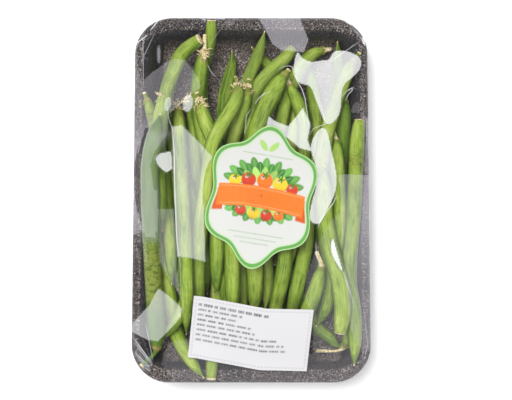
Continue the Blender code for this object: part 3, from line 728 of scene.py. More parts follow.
def foam_material():
    """Black foam with a fine dense pale speckle, whose strength is painted light: lighter on the rim and
    floor, a painted highlight along the rim's inner edge and painted shade on the walls.
    """
    g = Graph("black_foam")
    place = g.place()
    speckle_and_light = g.attribute("speckle_and_painted_light")
    colour = g.ramp(g.noise(place, 45, 4.0, 0.6), FOAM_BLACKS)
    dust = g.span(g.noise(place, 1300, 1.5, 0.7), 0.47, 0.57)
    cloud = g.span(g.noise(place, 110, 3.0, 0.6), 0.35, 0.62, 0.55, 1.0)
    dust_share = g.times(dust, g.times(cloud, g.span(speckle_and_light, 0.0, 1.0, 0.12, 1.0)))
    colour = g.mix(dust_share, colour, (0.330, 0.265, 0.225))
    # Painted light: the floor lighter still.
    colour = g.mix(g.span(speckle_and_light, 0.80, 1.0, 0.0, 0.22), colour, (0.240, 0.200, 0.170))
    beads = g.cells(place, 1000)
    dots = g.span(beads, 0.20, 0.36, 1.0, 0.0)
    dots = g.times(dots, g.span(g.noise(place, 420, 2.0), 0.46, 0.54))
    dots = g.times(dots, g.span(speckle_and_light, 0.0, 1.0, 0.12, 0.90))
    colour = g.mix(dots, colour, (0.780, 0.700, 0.630))
    height = g.maths("SUBTRACT", g.times(beads, 0.8), g.times(dust, 0.4))
    g.set(Base_Color=colour, Roughness=0.5, Normal=g.bump(height, 0.5, 0.00025))
    return g.material


def film_material():
    """Clear and mirror-smooth: what isn't mirrored passes through, with a faint veil, milky patches of
    painted reflection and painted highlights along creases.
    """
    g = Graph("clear_film")
    g.tree.nodes.remove(g.shader)
    facets = g.attribute("film_normal", "Vector")
    kind = {"vector_type": "NORMAL", "convert_from": "OBJECT", "convert_to": "WORLD"}
    normal = g.node("ShaderNodeVectorTransform", kind, Vector=facets).outputs[0]
    ripple = g.noise(g.place(), 70, 2.0, 0.5)
    normal = g.bump(ripple, 0.20, 0.0004, normal)
    gloss = g.node("ShaderNodeBsdfGlossy", Color=(1, 1, 1, 1), Roughness=0.035, Normal=normal)
    clear = g.node("ShaderNodeBsdfTransparent", Color=(0.985, 0.99, 0.99, 1))
    veil_and_painted_reflection = g.node("ShaderNodeBsdfDiffuse", Color=(0.90, 0.91, 0.94, 1))
    wisps = g.span(g.noise(g.stretched(g.place(), (1.0, 0.45, 1.0)), 90, 2.0, 0.5), 0.35, 0.65, 0.86, 1.14)
    off = g.maths("ABSOLUTE", g.attribute("crease_off"))
    # Painted highlight: pale lines along the creases.
    line = g.span(off, 0.00008, 0.00034, 1.0, 0.0)
    line = g.times(line, g.attribute("crease_painted_highlight"))
    # Painted reflection: the milky patches of the facets, over a faint veil.
    milky_and_painted_reflection = g.times(g.attribute("haze_and_painted_reflection"), wisps)
    through = g.layered(g.plus(milky_and_painted_reflection, line, clamp=True), clear, veil_and_painted_reflection)
    facing = g.node("ShaderNodeLayerWeight", Blend=0.5).outputs["Facing"]
    grazing = g.maths("POWER", facing, 5.0)
    mirrored = g.plus(g.times(grazing, FILM_GRAZING), g.attribute("shine"))
    g.put(g.output.inputs["Surface"], g.layered(mirrored, through, gloss).outputs[0])
    return g.material


def print_material(name, roughness):
    g = Graph(name)
    colour = g.attribute("print", "Color")
    fibres = g.noise(g.place(), 1800, 3.0, 0.6)
    colour = g.mix(g.span(fibres, 0.35, 0.65, 0.0, 0.06), colour, (0.55, 0.55, 0.53))
    gloss = g.span(g.noise(g.place(), 90, 2.0), 0.3, 0.7, roughness - 0.05, roughness + 0.07)
    g.set(Base_Color=colour, Roughness=gloss, Normal=g.bump(fibres, 0.15, 0.00006))
    return g.material


def floor_material():
    g = Graph("pale_floor")
    shade = g.noise(g.place(), 6, 2.0)
    colour = g.mix(g.span(shade, 0.3, 0.7), (0.93, 0.93, 0.93), (0.95, 0.95, 0.95))
    g.set(Base_Color=colour, Roughness=0.8, Emission_Color=(1, 1, 1, 1), Emission_Strength=0.15)
    g.set(Specular_IOR_Level=0.2)
    return g.material


# Tray


def rim_outline():
    """Points round the rim's edge, counter-clockwise: an arc at each corner and points along the sides."""
    points = []
    for quarter, signs in enumerate(((1, 1), (-1, 1), (-1, -1), (1, -1))):
        middle = RIM_CORE * signs
        arc = []
        for step in range(TRAY_CORNER_SEGMENTS + 1):
            angle = math.pi / 2 * (quarter + step / TRAY_CORNER_SEGMENTS)
            arc.append(middle + RIM_CORNER_RADIUS * np.array((math.cos(angle), math.sin(angle))))
        if points:
            points += side_points(points[-1], arc[0])
        points += arc
    points += side_points(points[-1], points[0])
    return np.array(points)


def side_points(start, end):
    count = max(1, round(math.dist(start, end) / TRAY_SIDE_STEP))
    return [start + (end - start) * number / count for number in range(1, count)]


def inset_points(points, inset):
    """Where points of the rim's outline go when the outline shrinks by inset all round."""
    held = np.clip(points, -RIM_CORE, RIM_CORE)
    out = (points - held) / RIM_CORNER_RADIUS
    radius = max(RIM_CORNER_RADIUS - inset, SMALLEST_CORNER_RADIUS)
    shrink = (RIM_CORE + RIM_CORNER_RADIUS - inset - radius) / RIM_CORE
    return held * shrink + radius * out


def inset_of(x, y):
    """How far inside the rim's outline each point lies."""
    past_x = np.abs(x) - RIM_CORE[0]
    past_y = np.abs(y) - RIM_CORE[1]
    outside = np.hypot(np.maximum(past_x, 0), np.maximum(past_y, 0))
    return RIM_CORNER_RADIUS - outside - np.minimum(np.maximum(past_x, past_y), 0)


def make_tray(material):
    """The foam tray: a fine loft of the CAD section, thickened downwards."""
    outline = rim_outline()
    run = distances_along(TRAY_SECTION)
    rings = []
    for inset, height in smooth_values(run, TRAY_SECTION, np.linspace(0, run[-1], TRAY_RINGS)):
        ring = inset_points(outline, inset)
        rings.append(np.column_stack((ring, np.full(len(ring), min(height, RIM_HEIGHT)))))
    floor_edge = rings[-1]
    rings += [floor_edge * (share, share, 1.0) for share in FLOOR_RING_SHARES]
    count = len(outline)
    faces = loop_faces(len(rings), count)
    faces.append(tuple(range((len(rings) - 1) * count, len(rings) * count)))
    points = np.vstack(rings)
    tray = mesh_piece("visual_foam_tray", points, faces, material)
    thicken(tray, TRAY_THICKNESS).use_even_offset = True
    add_values(tray, "speckle_and_painted_light", foam_speckle_and_painted_light(points))
    stands_for(tray, "foam", "foam_tray")


def foam_speckle_and_painted_light(points):
    """How strong the pale speckle is: faint on the walls as painted shade, fair on the rim with a painted
    highlight along its inner edge, full on the floor as painted light.
    """
    x, y = points[:, 0], points[:, 1]
    inset = inset_of(x, y)
    past = np.abs(y) - RIM_HALF_LENGTH - np.abs(x) + RIM_HALF_WIDTH
    at_end = smoothstep(-5 * MM, 5 * MM, past)
    band = RIM_BAND_AT_SIDES + (RIM_BAND_AT_ENDS - RIM_BAND_AT_SIDES) * at_end
    rim = smoothstep(band + 1.0 * MM, band - 0.5 * MM, inset)
    floor_edge = FLOOR_EDGE_INSET + (FLOOR_EDGE_AT_ENDS - FLOOR_EDGE_INSET) * at_end
    floor = smoothstep(floor_edge - 1.0 * MM, floor_edge + 1.0 * MM, inset)
    # Painted shade on the walls, painted light on the rim and floor, and a painted highlight along the rim's
    # inner edge.
    speckle_and_light = SPECKLE_ON_WALLS_PAINTED_SHADE + SPECKLE_ON_RIM_PAINTED_LIGHT * rim + RIM_EDGE_PAINTED_HIGHLIGHT * bell(inset, band, RIM_EDGE_LINE)
    return np.clip(speckle_and_light + SPECKLE_ON_FLOOR_PAINTED_LIGHT * floor, 0, 1)


# Pods


def cad_rings(node):
    """The rings of corners of a CAD pod, from its stalk to its tip, each an array of coordinates."""
    places = np.array([vert.co for vert in node.data.vertices], float)
    apart = np.linalg.norm(places[:, None] - places, axis=2)
    first_here = (apart < SAME_CORNER).argmax(axis=1)
    kept, corner = np.unique(first_here, return_inverse=True)
    corners = places[kept]
    joined = np.zeros((len(corners), len(corners)), bool)
    for face in node.data.polygons:
        around = [corner[v] for v in face.vertices]
        for a, b in zip(around, around[1:] + around[:1]):
            joined[a, b] = joined[b, a] = True
    apart = np.linalg.norm(corners[:, None] - corners, axis=2)
    crowding = np.sort(apart, axis=1)[:, CAD_RING_SIZE - 1]
    front = np.zeros(len(corners), bool)
    front[np.argsort(apart[crowding.argmin()])[:CAD_RING_SIZE]] = True
    reached = front.copy()
    rings = []
    while front.any():
        rings.append(corners[front])
        front = joined[front].any(axis=0) & ~reached
        reached |= front
    return rings[::-1]


def pod_line(rings):
    """The distances along a pod's middle line, its points, wide directions and half widths, ring by ring."""
    middles = np.array([ring.mean(axis=0) for ring in rings])
    wide, half_width = [], []
    for ring, middle in zip(rings, middles):
        sizes, directions = np.linalg.eigh((ring - middle).T @ (ring - middle) / len(ring))
        direction = directions[:, -1]
        if wide and direction @ wide[-1] < 0:
            direction = -direction
        wide.append(direction)
        half_width.append(math.sqrt(2 * sizes[-1]))
    return distances_along(middles), middles, np.array(wide), np.array(half_width)


def ring_places(length):
    """Distances along a pod for its fine rings, closer together at its ends."""
    count = round(END_REACH / END_RING_STEP)
    head = np.linspace(0, END_REACH, count + 1)
    middle_count = max(2, round((length - 2 * END_REACH) / RING_STEP))
    middle = np.linspace(END_REACH, length - END_REACH, middle_count + 1)[1:-1]
    return np.concatenate((head, middle, length - head[::-1]))


def tube_rings(middles, wide, half_width, flatness, angles):
    """Rings of points about a line, with the section's wide direction given at each."""
    ahead = unit(np.gradient(middles, axis=0))
    wide = unit(wide - ahead * (wide * ahead).sum(axis=1, keepdims=True))
    high = np.cross(ahead, wide)
    across = np.cos(angles)[None, :, None] * wide[:, None]
    up = np.sin(angles)[None, :, None] * high[:, None] * np.reshape(flatness, (-1, 1, 1))
    return middles[:, None] + (across + up) * half_width[:, None, None]


class PodLine:
    """A pod's fine middle line and radius, taken from its CAD node."""

    def __init__(self, number):
        along, middles, wide, half_width = pod_line(cad_rings(NODES[f"bean_{number:02d}"]))
        fullest = half_width.max()
        self.number = number
        self.stalked = half_width[0] < STALKED_BELOW * fullest
        self.stalk = along[1] if self.stalked else 0.0
        self.places = ring_places(along[-1])
        self.middles = smooth_values(along, middles, self.places)
        self.wide = smooth_values(along, wide, self.places)
        self.radius = np.maximum(smooth_values(along, half_width, self.places), SLIMMEST * fullest)
        self.from_head = self.places - self.stalk
        self.from_tip = along[-1] - self.places

    def frame_at(self, place):
        """The middle, the way ahead, two directions across and the radius at one place."""
        index = int(np.searchsorted(self.places, place))
        ahead = unit(self.middles[index + 1] - self.middles[index])
        wide = unit(self.wide[index] - ahead * (self.wide[index] @ ahead))
        return self.middles[index], ahead, wide, np.cross(ahead, wide), self.radius[index]

    def swell(self, draw):
        """Shapes the radius along the line, and gives how far the seeds push out the flat sides."""
        body = smoothstep(*SEEDS_FROM_HEAD, self.from_head) * smoothstep(*SEEDS_FROM_TIP, self.from_tip)
        phase = draw.uniform(0, 2 * math.pi)
        spacing = SEED_SPACING * draw.uniform(0.88, 1.15)
        wander = 1.2 * np.sin(self.places / SEED_WANDER + phase)
        seeds = np.sin(2 * math.pi * self.places / spacing + phase + wander)
        pushed = draw.uniform(0.6, 1.3) * SEED_BULGE * body * seeds
        self.radius *= 1 + SLOW_SWELLING * body * np.sin(self.places / SLOW_LENGTH + 3 * phase)
        if self.stalked:
            for middle, width, share in HEAD_SWELLINGS:
                self.radius *= 1 + share * bell(self.from_head, middle, width)
        self.radius *= 1 - TIP_THINNING * smoothstep(TIP_REACH, 0, self.from_tip)
        return pushed

    def dryness(self):
        """How dry the pod is along its line: most at its stalk's end, its calyx and its tip."""
        dry = [faded(DRY_TIP, self.from_tip)]
        if not self.stalked:
            return np.maximum(dry[0], faded(DRY_CUT_END, self.places))
        crumbly = self.number in CRUMBLY_BEANS
        dry.append(faded(DRY_STALK, self.places))
        dry.append(CALYX_DRYNESS[crumbly] * bell(self.from_head, *CALYX))
        if crumbly:
            dry.append(faded(DRY_RUST, self.from_head))
        if self.number in TAN_STALKS:
            dry.append(faded(DRY_TAN, self.from_head))
        return np.maximum.reduce(dry)

    def surface(self, pushed):
        """Rings of points with two raised seams between grooves, and their places in the pod's own space."""
        half_turn = np.radians(SIDE_ANGLES)
        angles = np.concatenate((half_turn, half_turn + math.pi))
        body = smoothstep(*FLATTER_FROM_HEAD, self.from_head) * smoothstep(*FLATTER_FROM_TIP, self.from_tip)
        flatness = FLATNESS - BODY_FLATTER * body
        rings = tube_rings(self.middles, self.wide, self.radius, flatness, angles)
        side = np.arange(len(angles)) % len(half_turn)
        beside = (side == 1) | (side == len(half_turn) - 1)
        seams = np.where(side == 0, SEAM_RIDGE, 0.0) + np.where(beside, SEAM_GROOVE, 0.0)
        bulge = 1 + pushed[:, None] * np.sin(angles) ** 2 + seams * body[:, None]
        rings = self.middles[:, None] + (rings - self.middles[:, None]) * bulge[..., None]
        across = np.cos(angles) * self.radius[:, None]
        high = np.sin(angles) * self.radius[:, None]
        along = np.repeat(self.places[:, None] + SPACE_STEP * self.number, len(angles), axis=1)
        return rings, np.stack((across, high, along), axis=2)


class Parts:
    """Points, faces and shading values of a pod's mesh, made of several closed tubes."""

    def __init__(self, number):
        self.points, self.faces, self.space, self.dry = [], [], [], []
        self.count = 0
        self.shift = np.array((0, 0, SPACE_STEP * number))

    def tube(self, rings, space, dry):
        """Adds a closed tube: rings of points, each end closed with a fan."""
        rows, sides = rings.shape[:2]
        start = self.count
        near, far = start + rows * sides, start + rows * sides + 1
        last = start + (rows - 1) * sides
        self.faces += [tuple(start + v for v in face) for face in loop_faces(rows, sides)]
        for a in range(sides):
            b = (a + 1) % sides
            self.faces.append((near, start + b, start + a))
            self.faces.append((far, last + a, last + b))
        self.points += [rings.reshape(-1, 3), rings[[0, -1]].mean(axis=1)]
        self.space += [space.reshape(-1, 3), space[[0, -1]].mean(axis=1)]
        self.dry += [np.repeat(dry, sides), dry[[0, -1]]]
        self.count += rows * sides + 2

    def thread(self, start, heading, bend, length, thick, dry):
        """Adds a thin tapering piece that grows from start along heading and bends."""
        share = np.linspace(0, 1, THREAD_ROWS)
        middles = start + heading * (share * length)[:, None] + bend * (share**2 * length)[:, None]
        wide = unit(np.tile(np.cross(heading, bend + 0.3 * SKEW_WAY), (THREAD_ROWS, 1)))
        half_width = thick * (1 - 0.8 * share**1.5)
        angles = np.arange(THREAD_SIDES) * 2 * math.pi / THREAD_SIDES
        rings = tube_rings(middles, wide, half_width, THREAD_FLATNESS, angles)
        self.tube(rings, rings + self.shift, np.full(THREAD_ROWS, dry))

    def crumb(self, draw, start, heading, sizes):
        """Adds a dried thread that bends any way, its sizes drawn from their ranges."""
        bend = unit(draw.normal(size=3)) * CRUMB_BEND
        length, thick, dry = (draw.uniform(*limits) for limits in sizes)
        self.thread(start, heading, bend, length * MM, thick * MM, dry)


def add_sepals(parts, draw, line):
    """The calyx: short pointed lobes that lie on the head of the pod."""
    middle, ahead, wide, high, size = line.frame_at(line.stalk)
    turn = draw.uniform(0, 2 * math.pi)
    dry = 0.75 if line.number in CRUMBLY_BEANS else 0.33
    for lobe in range(SEPALS):
        angle = turn + 2 * math.pi * lobe / SEPALS
        out = math.cos(angle) * wide + math.sin(angle) * high
        start = middle + out * size * 0.85 - ahead * 0.4 * MM
        heading = unit(ahead + out * draw.uniform(0.25, 0.45))
        bend = out * draw.uniform(-0.10, 0.25)
        parts.thread(start, heading, bend, SEPAL_LENGTH * draw.uniform(0.7, 1.1), SEPAL_HALF_WIDTH, dry)


def add_crumbs(parts, draw, line):
    """Dried remains of the flower about the head of the pod, and in trails away from it."""
    for _ in range(CRUMBS):
        at = line.stalk + draw.uniform(-1.0, 3.4) * MM
        middle, ahead, wide, high, size = line.frame_at(max(at, 0.8 * MM))
        angle = draw.uniform(0, 2 * math.pi)
        out = math.cos(angle) * wide + math.sin(angle) * high
        heading = out * draw.uniform(0.1, 0.5) + ahead * draw.uniform(-0.6, 0.6) + high * draw.uniform(-1, 1)
        parts.crumb(draw, middle + out * size * 0.9, unit(heading), CRUMB_SIZES)
    middle, _, _, _, size = line.frame_at(line.stalk)
    for across, along, up in CRUMB_TRAILS.get(line.number, ()):
        way = np.array((across, along, 0.0)) * MM
        for _ in range(TRAIL_CRUMBS):
            share = draw.uniform(0, 1)
            lift = size * 0.9 + up * MM * (1 - (1 - share) ** 3)
            start = middle + share * way + (0.0, 0.0, lift) + draw.normal(size=3) * 0.40 * MM
            heading = unit(unit(way) + 0.8 * draw.normal(size=3))
            parts.crumb(draw, start, heading, TRAIL_CRUMB_SIZES)


def make_pod(number, material):
    """One fine pod along the line of its CAD node, with its seams, seeds, calyx, stalk and tip."""
    draw = np.random.default_rng(100 + number)
    line = PodLine(number)
    rings, space = line.surface(line.swell(draw))
    parts = Parts(number)
    parts.tube(rings, space, line.dryness())
    if line.stalked:
        add_sepals(parts, draw, line)
    if number in CRUMBLY_BEANS:
        add_crumbs(parts, draw, line)
    pod = mesh_piece(f"visual_bean_{number:02d}", np.vstack(parts.points), parts.faces, material)
    space = np.vstack(parts.space)
    along = space[:, 2] - SPACE_STEP * number
    usual = 0.5 + draw.uniform(-TONE_SPREAD, TONE_SPREAD)
    tone_and_shade = BEAN_TONES_AND_PAINTED_LIGHT.get(number, usual if number > LOWEST_BEANS else LOWEST_PAINTED_SHADE_TONE)
    start, end = RINGED_STRETCHES.get(number, (-1, -1))
    ringed = smoothstep(start - RINGED_FADE_IN, start + RINGED_FADE_IN, along)
    ringed *= smoothstep(end, end - RINGED_FADE_OUT, along)
    add_values(pod, "pod_space", space)
    add_values(pod, "dry", np.concatenate(parts.dry))
    add_values(pod, "tone_and_shade", np.full(len(space), tone_and_shade))
    add_values(pod, "ringed", ringed)
    stands_for(pod, "pod", f"bean_{number:02d}")
    return pod


# Film


def film_lines():
    """The film's grid lines across and along the tray."""
    half_width = RIM_HALF_WIDTH - FILM_EDGE_INSET
    step = half_width / FILM_CELLS_PER_HALF_WIDTH
    across = half_width - step * np.arange(FILM_CELLS_PER_HALF_WIDTH + 1)
    middle = RIM_HALF_LENGTH - RIM_HALF_WIDTH
    rows = np.linspace(-middle, middle, round(2 * middle / step) + 1)[1:-1]
    along = middle + across
    return (
        np.concatenate((-across, across[-2::-1])),
        np.concatenate((-along, rows, along[::-1])),
        step,
    )


def film_plan():
    """The film's grid over the tray, seen from above, with its corners rounded as the rim's."""
    across, along, step = film_lines()
    x, y = np.meshgrid(across, along, indexing="ij")
    i, j = np.indices(x.shape)
    rings_in = np.minimum.reduce((i, len(across) - 1 - i, j, len(along) - 1 - j))
    inset = FILM_EDGE_INSET + rings_in * step
    radius = np.maximum(RIM_CORNER_RADIUS - inset, TINY)
    core_x = RIM_HALF_WIDTH - inset - radius
    core_y = RIM_HALF_LENGTH - inset - radius
    past_x = np.abs(x) - core_x
    past_y = np.abs(y) - core_y
    turn = math.pi / 4 * np.where(past_x < past_y, past_x / radius, 2 - past_y / radius)
    in_corner = (radius > 10 * TINY) & (past_x > 0) & (past_y > 0)
    round_x = np.sign(x) * (core_x + radius * np.sin(turn))
    round_y = np.sign(y) * (core_y + radius * np.cos(turn))
    return np.where(in_corner, round_x, x), np.where(in_corner, round_y, y)


def tray_surface(x, y):
    insets, heights = zip(*TRAY_SECTION)
    return np.interp(inset_of(x, y), insets, heights)


def tree_of(pieces):
    """One search tree over the meshes of several pieces."""
    points, faces = [], []
    for piece in pieces:
        start = len(points)
        points += [vert.co.copy() for vert in piece.data.vertices]
        faces += [tuple(start + v for v in face.vertices) for face in piece.data.polygons]
    return BVHTree.FromPolygons(points, faces)


def tops_below(tree, x, y):
    """Height of the highest thing at each point, or 0."""
    down = Vector((0, 0, -1))
    heights = np.zeros(x.shape)
    for index in np.ndindex(x.shape):
        hit = tree.ray_cast(Vector((x[index], y[index], RAY_START)), down)[0]
        if hit is not None:
            heights[index] = hit.z
    return heights


def widened(heights):
    """Each point takes the highest value of itself and its neighbours."""
    rows, columns = heights.shape
    edged = np.pad(heights, 1, mode="edge")
    return np.maximum.reduce([edged[a : a + rows, b : b + columns] for a in range(3) for b in range(3)])


def pulled_tight(start, least, rounds):
    """Heights of a stretched sheet that is level between its neighbours but never below the least height."""
    height = start.copy()
    for _ in range(rounds):
        inner = (height[2:, 1:-1] + height[:-2, 1:-1] + height[1:-1, 2:] + height[1:-1, :-2]) / 4
        height[1:-1, 1:-1] = np.maximum(inner, least[1:-1, 1:-1])
    return height


def enlarged(heights, shape):
    """A coarse grid's heights, read on a grid of that shape."""
    rows, columns = (np.linspace(0, old - 1, new) for old, new in zip(heights.shape, shape))
    wide = np.array([np.interp(columns, np.arange(heights.shape[1]), row) for row in heights])
    return np.array([np.interp(rows, np.arange(heights.shape[0]), column) for column in wide.T]).T


def film_heights(x, y, tree):
    """The film's heights over the pods, found on a coarse grid first and then on its own."""
    least = np.maximum(widened(tops_below(tree, x, y)), tray_surface(x, y)) + FILM_CLEARANCE
    coarse = least[::COARSE_STEP, ::COARSE_STEP]
    start = np.maximum(least, enlarged(pulled_tight(coarse, coarse, COARSE_ROUNDS), least.shape))
    start[[0, -1]] = least[[0, -1]]
    start[:, [0, -1]] = least[:, [0, -1]]
    return pulled_tight(start, least, FILM_ROUNDS)


def edge_loop(shape):
    """Indices into a grid of that shape, round its edge."""
    rows, columns = shape
    loop = [(i, 0) for i in range(rows)] + [(rows - 1, j) for j in range(1, columns)]
    loop += [(i, columns - 1) for i in range(rows - 2, -1, -1)] + [(0, j) for j in range(columns - 2, 0, -1)]
    return loop


def on_outline(points):
    """The points of the rim's outline nearest to points beside it."""
    held = np.clip(points, -RIM_CORE, RIM_CORE)
    out = np.linalg.norm(points - held, axis=1, keepdims=True) / RIM_CORNER_RADIUS
    return held + (points - held) / out


def through_camera(outline):
    """Takes an outline measured at the plain scale, in mm, to its true place at the rim's level."""
    flat = np.array(outline, float) * MM / PLAIN_SCALE
    right = (flat[:, 0] + PLAIN_MIDDLE[0] - OPTICAL_AXIS[0]) / FOCAL_PIXELS
    up = (flat[:, 1] - PLAIN_MIDDLE[1] + OPTICAL_AXIS[1]) / FOCAL_PIXELS
    ahead_y = math.sin(CAMERA_TILT) + up * math.cos(CAMERA_TILT)
    down = math.cos(CAMERA_TILT) - up * math.sin(CAMERA_TILT)
    reach = (EYE[2] - RIM_HEIGHT) / down
    return np.column_stack((EYE[0] + reach * right, EYE[1] + reach * ahead_y))


def seen_at_rim(points):
    """Where points appear at the rim's level, seen from the camera."""
    eye = np.array(EYE)
    share = (eye[2] - RIM_HEIGHT) / (eye[2] - points[:, 2])
    return eye[:2] + (points[:, :2] - eye[:2]) * share[:, None]


def beyond_outline(points, outline):
    """Distance of each point from a closed outline, less than nothing inside it."""
    inside = np.zeros(len(points), bool)
    nearest = np.full(len(points), 1.0)
    for start, end in zip(outline, np.roll(outline, -1, axis=0)):
        run = end - start
        share = np.clip((points - start) @ run / (run @ run), 0, 1)
        nearest = np.minimum(nearest, np.linalg.norm(points - start - share[:, None] * run, axis=1))
        crosses = (start[1] > points[:, 1]) != (end[1] > points[:, 1])
        rise = run[1] if run[1] else 1e-12
        inside ^= crosses & (points[:, 0] < start[0] + (points[:, 1] - start[1]) * run[0] / rise)
    return np.where(inside, -nearest, nearest)


def beside_line(points, line):
    """How far left of a bent line each point lies, negative to its right, and its share of the way."""
    runs = np.diff(line, axis=0)
    done = distances_along(line)
    off = np.full(len(points), 1.0)
    share = np.zeros(len(points))
    for start, run, before in zip(line, runs, done):
        length = np.linalg.norm(run)
        along = np.clip((points - start) @ run / length**2, 0, 1)
        apart = np.linalg.norm(points - start - along[:, None] * run, axis=1)
        side = np.where((points - start) @ np.array((-run[1], run[0])) < 0, -1.0, 1.0)
        nearer = apart < np.abs(off)
        off = np.where(nearer, side * apart, off)
        share = np.where(nearer, (before + along * length) / done[-1], share)
    return off, share


def creased(x, y, height):
    """The film's heights with its creases, and each point's distance from the nearest and its painted
    highlight.
    """
    seen = seen_at_rim(grid_points(x, y, height))
    rise = np.zeros(len(seen))
    beside = np.full(len(seen), FAR_FROM_CREASES)
    painted_highlight = np.zeros(len(seen))
    for line, size, highlight_share in CREASES:
        off, share = beside_line(seen, through_camera(line))
        taper = np.sqrt(np.clip(4 * share * (1 - share), 0, 1))
        rise = np.maximum(rise, size * MM * taper * bell(off, 0, CREASE_WIDTH))
        nearer = np.abs(off) < np.abs(beside)
        beside = np.where(nearer, off, beside)
        painted_highlight = np.where(nearer, highlight_share * taper, painted_highlight)
    return height + rise.reshape(height.shape), beside, painted_highlight


def panel_place(way):
    """The middle of the light panel that lies that way."""
    return unit(np.array((*way, 1.0))) * PANEL_DISTANCE


def film_shine(points, normals):
    """The film's gloss normals, flatter than the mesh and turned in facets, and its two shares of shine:
    mirrored, and milky as a painted reflection.
    """
    top = smoothstep(*FLATTER_FACING_UP, normals[:, 2])[:, None]
    own = unit(normals * (FLATTER, FLATTER, 1.0)) * top + normals * (1 - top)
    seen = seen_at_rim(points)
    to_eye = unit(np.array(EYE) - points)
    faced = own.copy()
    mirrored = np.full(len(points), FILM_MIRROR)
    milky_and_painted_reflection = np.full(len(points), FILM_VEIL)
    for (way, keep, mirror, veil_and_painted_reflection, edge), outline in FACETS:
        share = smoothstep(edge * MM, -edge * MM, beyond_outline(seen, through_camera(outline)))
        share *= smoothstep(*FACETS_FACING_UP, normals[:, 2])
        mirror_way = unit(unit(panel_place(way) - points) + to_eye)
        facet = unit(mirror_way + keep * (own - own[share > 0.5].mean(axis=0)))
        faced += share[:, None] * (facet - faced)
        mirrored += share * (mirror - mirrored)
        # Painted reflection: the facet's milky share.
        milky_and_painted_reflection += share * (veil_and_painted_reflection - milky_and_painted_reflection)
    return unit(faced), mirrored, milky_and_painted_reflection


def film_sides(outline):
    """Rings of the film down the tray's walls and under it, gathered in pleats."""
    draw = np.random.default_rng(7)
    turn = np.linspace(0, 2 * math.pi, len(outline), endpoint=False)
    waves = draw.integers(*PLEAT_WAVES, PLEATS)
    pleats = sum(draw.uniform(0.4, 1) * np.sin(n * turn + draw.uniform(0, 6.3)) for n in waves) / 4
    rings = []
    for inset, level in np.array(FILM_SIDES) * MM:
        ring = inset_points(outline, inset)
        fold = PLEAT_DEPTH * smoothstep(*PLEATS_BELOW, level) * smoothstep(*PLEATS_ABOVE, level)
        ring = ring * (1 - np.abs(pleats)[:, None] * fold / np.linalg.norm(ring, axis=1, keepdims=True))
        ripple = RIPPLE_UNDER_TRAY * np.clip(pleats, -1, 1) if level < UNDER_TRAY else 0 * pleats
        rings.append(np.column_stack((ring, level + ripple)))
    return rings


def make_film(x, y, height, beside_crease, crease_painted_highlight, material):
    """The film over the pile, round the rim, down the sides and under the tray, as one thin sheet."""
    rows, columns = x.shape
    top = grid_points(x, y, height)
    faces = grid_faces(rows, columns)
    above = [i * columns + j for i, j in edge_loop(x.shape)]
    count = len(above)
    sides = film_sides(on_outline(top[above][:, :2]))
    for start in range(len(top), len(top) + len(sides) * count, count):
        below = list(range(start, start + count))
        for a in range(count):
            b = (a + 1) % count
            faces.append((above[b], above[a], below[a], below[b]))
        above = below
    points = np.vstack((top, *sides))
    film = mesh_piece("visual_stretch_film", points, faces, material)
    normals = np.zeros(len(points) * 3)
    film.data.vertex_normals.foreach_get("vector", normals)
    faced, mirrored, milky_and_painted_reflection = film_shine(points, normals.reshape(-1, 3))
    below_rim = len(sides) * count
    add_values(film, "film_normal", faced)
    add_values(film, "shine", mirrored)
    add_values(film, "haze_and_painted_reflection", milky_and_painted_reflection)
    add_values(film, "crease_off", np.append(beside_crease, np.full(below_rim, FAR_FROM_CREASES)))
    add_values(film, "crease_painted_highlight", np.append(crease_painted_highlight, np.zeros(below_rim)))
    stands_for(film, "film", "stretch_film")


# Labels


def read_grid(across, along, height, x, y):
    """Heights at places x, y, read from a grid with lines across and along."""
    i = np.clip(np.searchsorted(across, x) - 1, 0, len(across) - 2)
    j = np.clip(np.searchsorted(along, y) - 1, 0, len(along) - 2)
    u = (x - across[i]) / (across[i + 1] - across[i])
    v = (y - along[j]) / (along[j + 1] - along[j])
    low = height[i, j] * (1 - u) + height[i + 1, j] * u
    high = height[i, j + 1] * (1 - u) + height[i + 1, j + 1] * u
    return low * (1 - v) + high * v


def spaced(half):
    """Evenly spaced places from -half to half, one label cell apart."""
    return np.linspace(-half, half, round(2 * half / LABEL_CELL) + 1)


def bent_over(least, rounds):
    """Heights of a stiff sheet laid over the least height: smooth, and never below it."""
    height = least.copy()
    for _ in range(rounds):
        padded = np.pad(height, 1, mode="edge")
        mean = (padded[2:, 1:-1] + padded[:-2, 1:-1] + padded[1:-1, 2:] + padded[1:-1, :-2]) / 4
        height = np.maximum(least, (height + mean) / 2)
    return height


def laid_label(half_size, place, film_grid):
    """The lines across and along of a label laid over the film, and its heights at their crossings."""
    across, along = spaced(half_size[0]), spaced(half_size[1])
    x, y = place(*np.meshgrid(across, along, indexing="ij"))
    return across, along, bent_over(read_grid(*film_grid, x, y) + LABEL_GAP, LABEL_ROUNDS)


def finish_label(label, node, slot, colours):
    add_colours(label, "print", colours)
    thicken(label, LABEL_THICKNESS)
    stands_for(label, slot, node)


def badge_place(u, v):
    return turned(u, v, BADGE_CENTRE, BADGE_TURN)


def dip(u):
    """How far the price label's middle is pulled towards the pack's foot by its crease."""
    return PRICE_DIP * np.clip(1 - np.abs(u - PRICE_CREASE) / PRICE_DIP_REACH, 0, 1)


def price_place(u, v):
    return turned(u, v - dip(u), PRICE_LABEL_CENTRE, PRICE_LABEL_TURN)


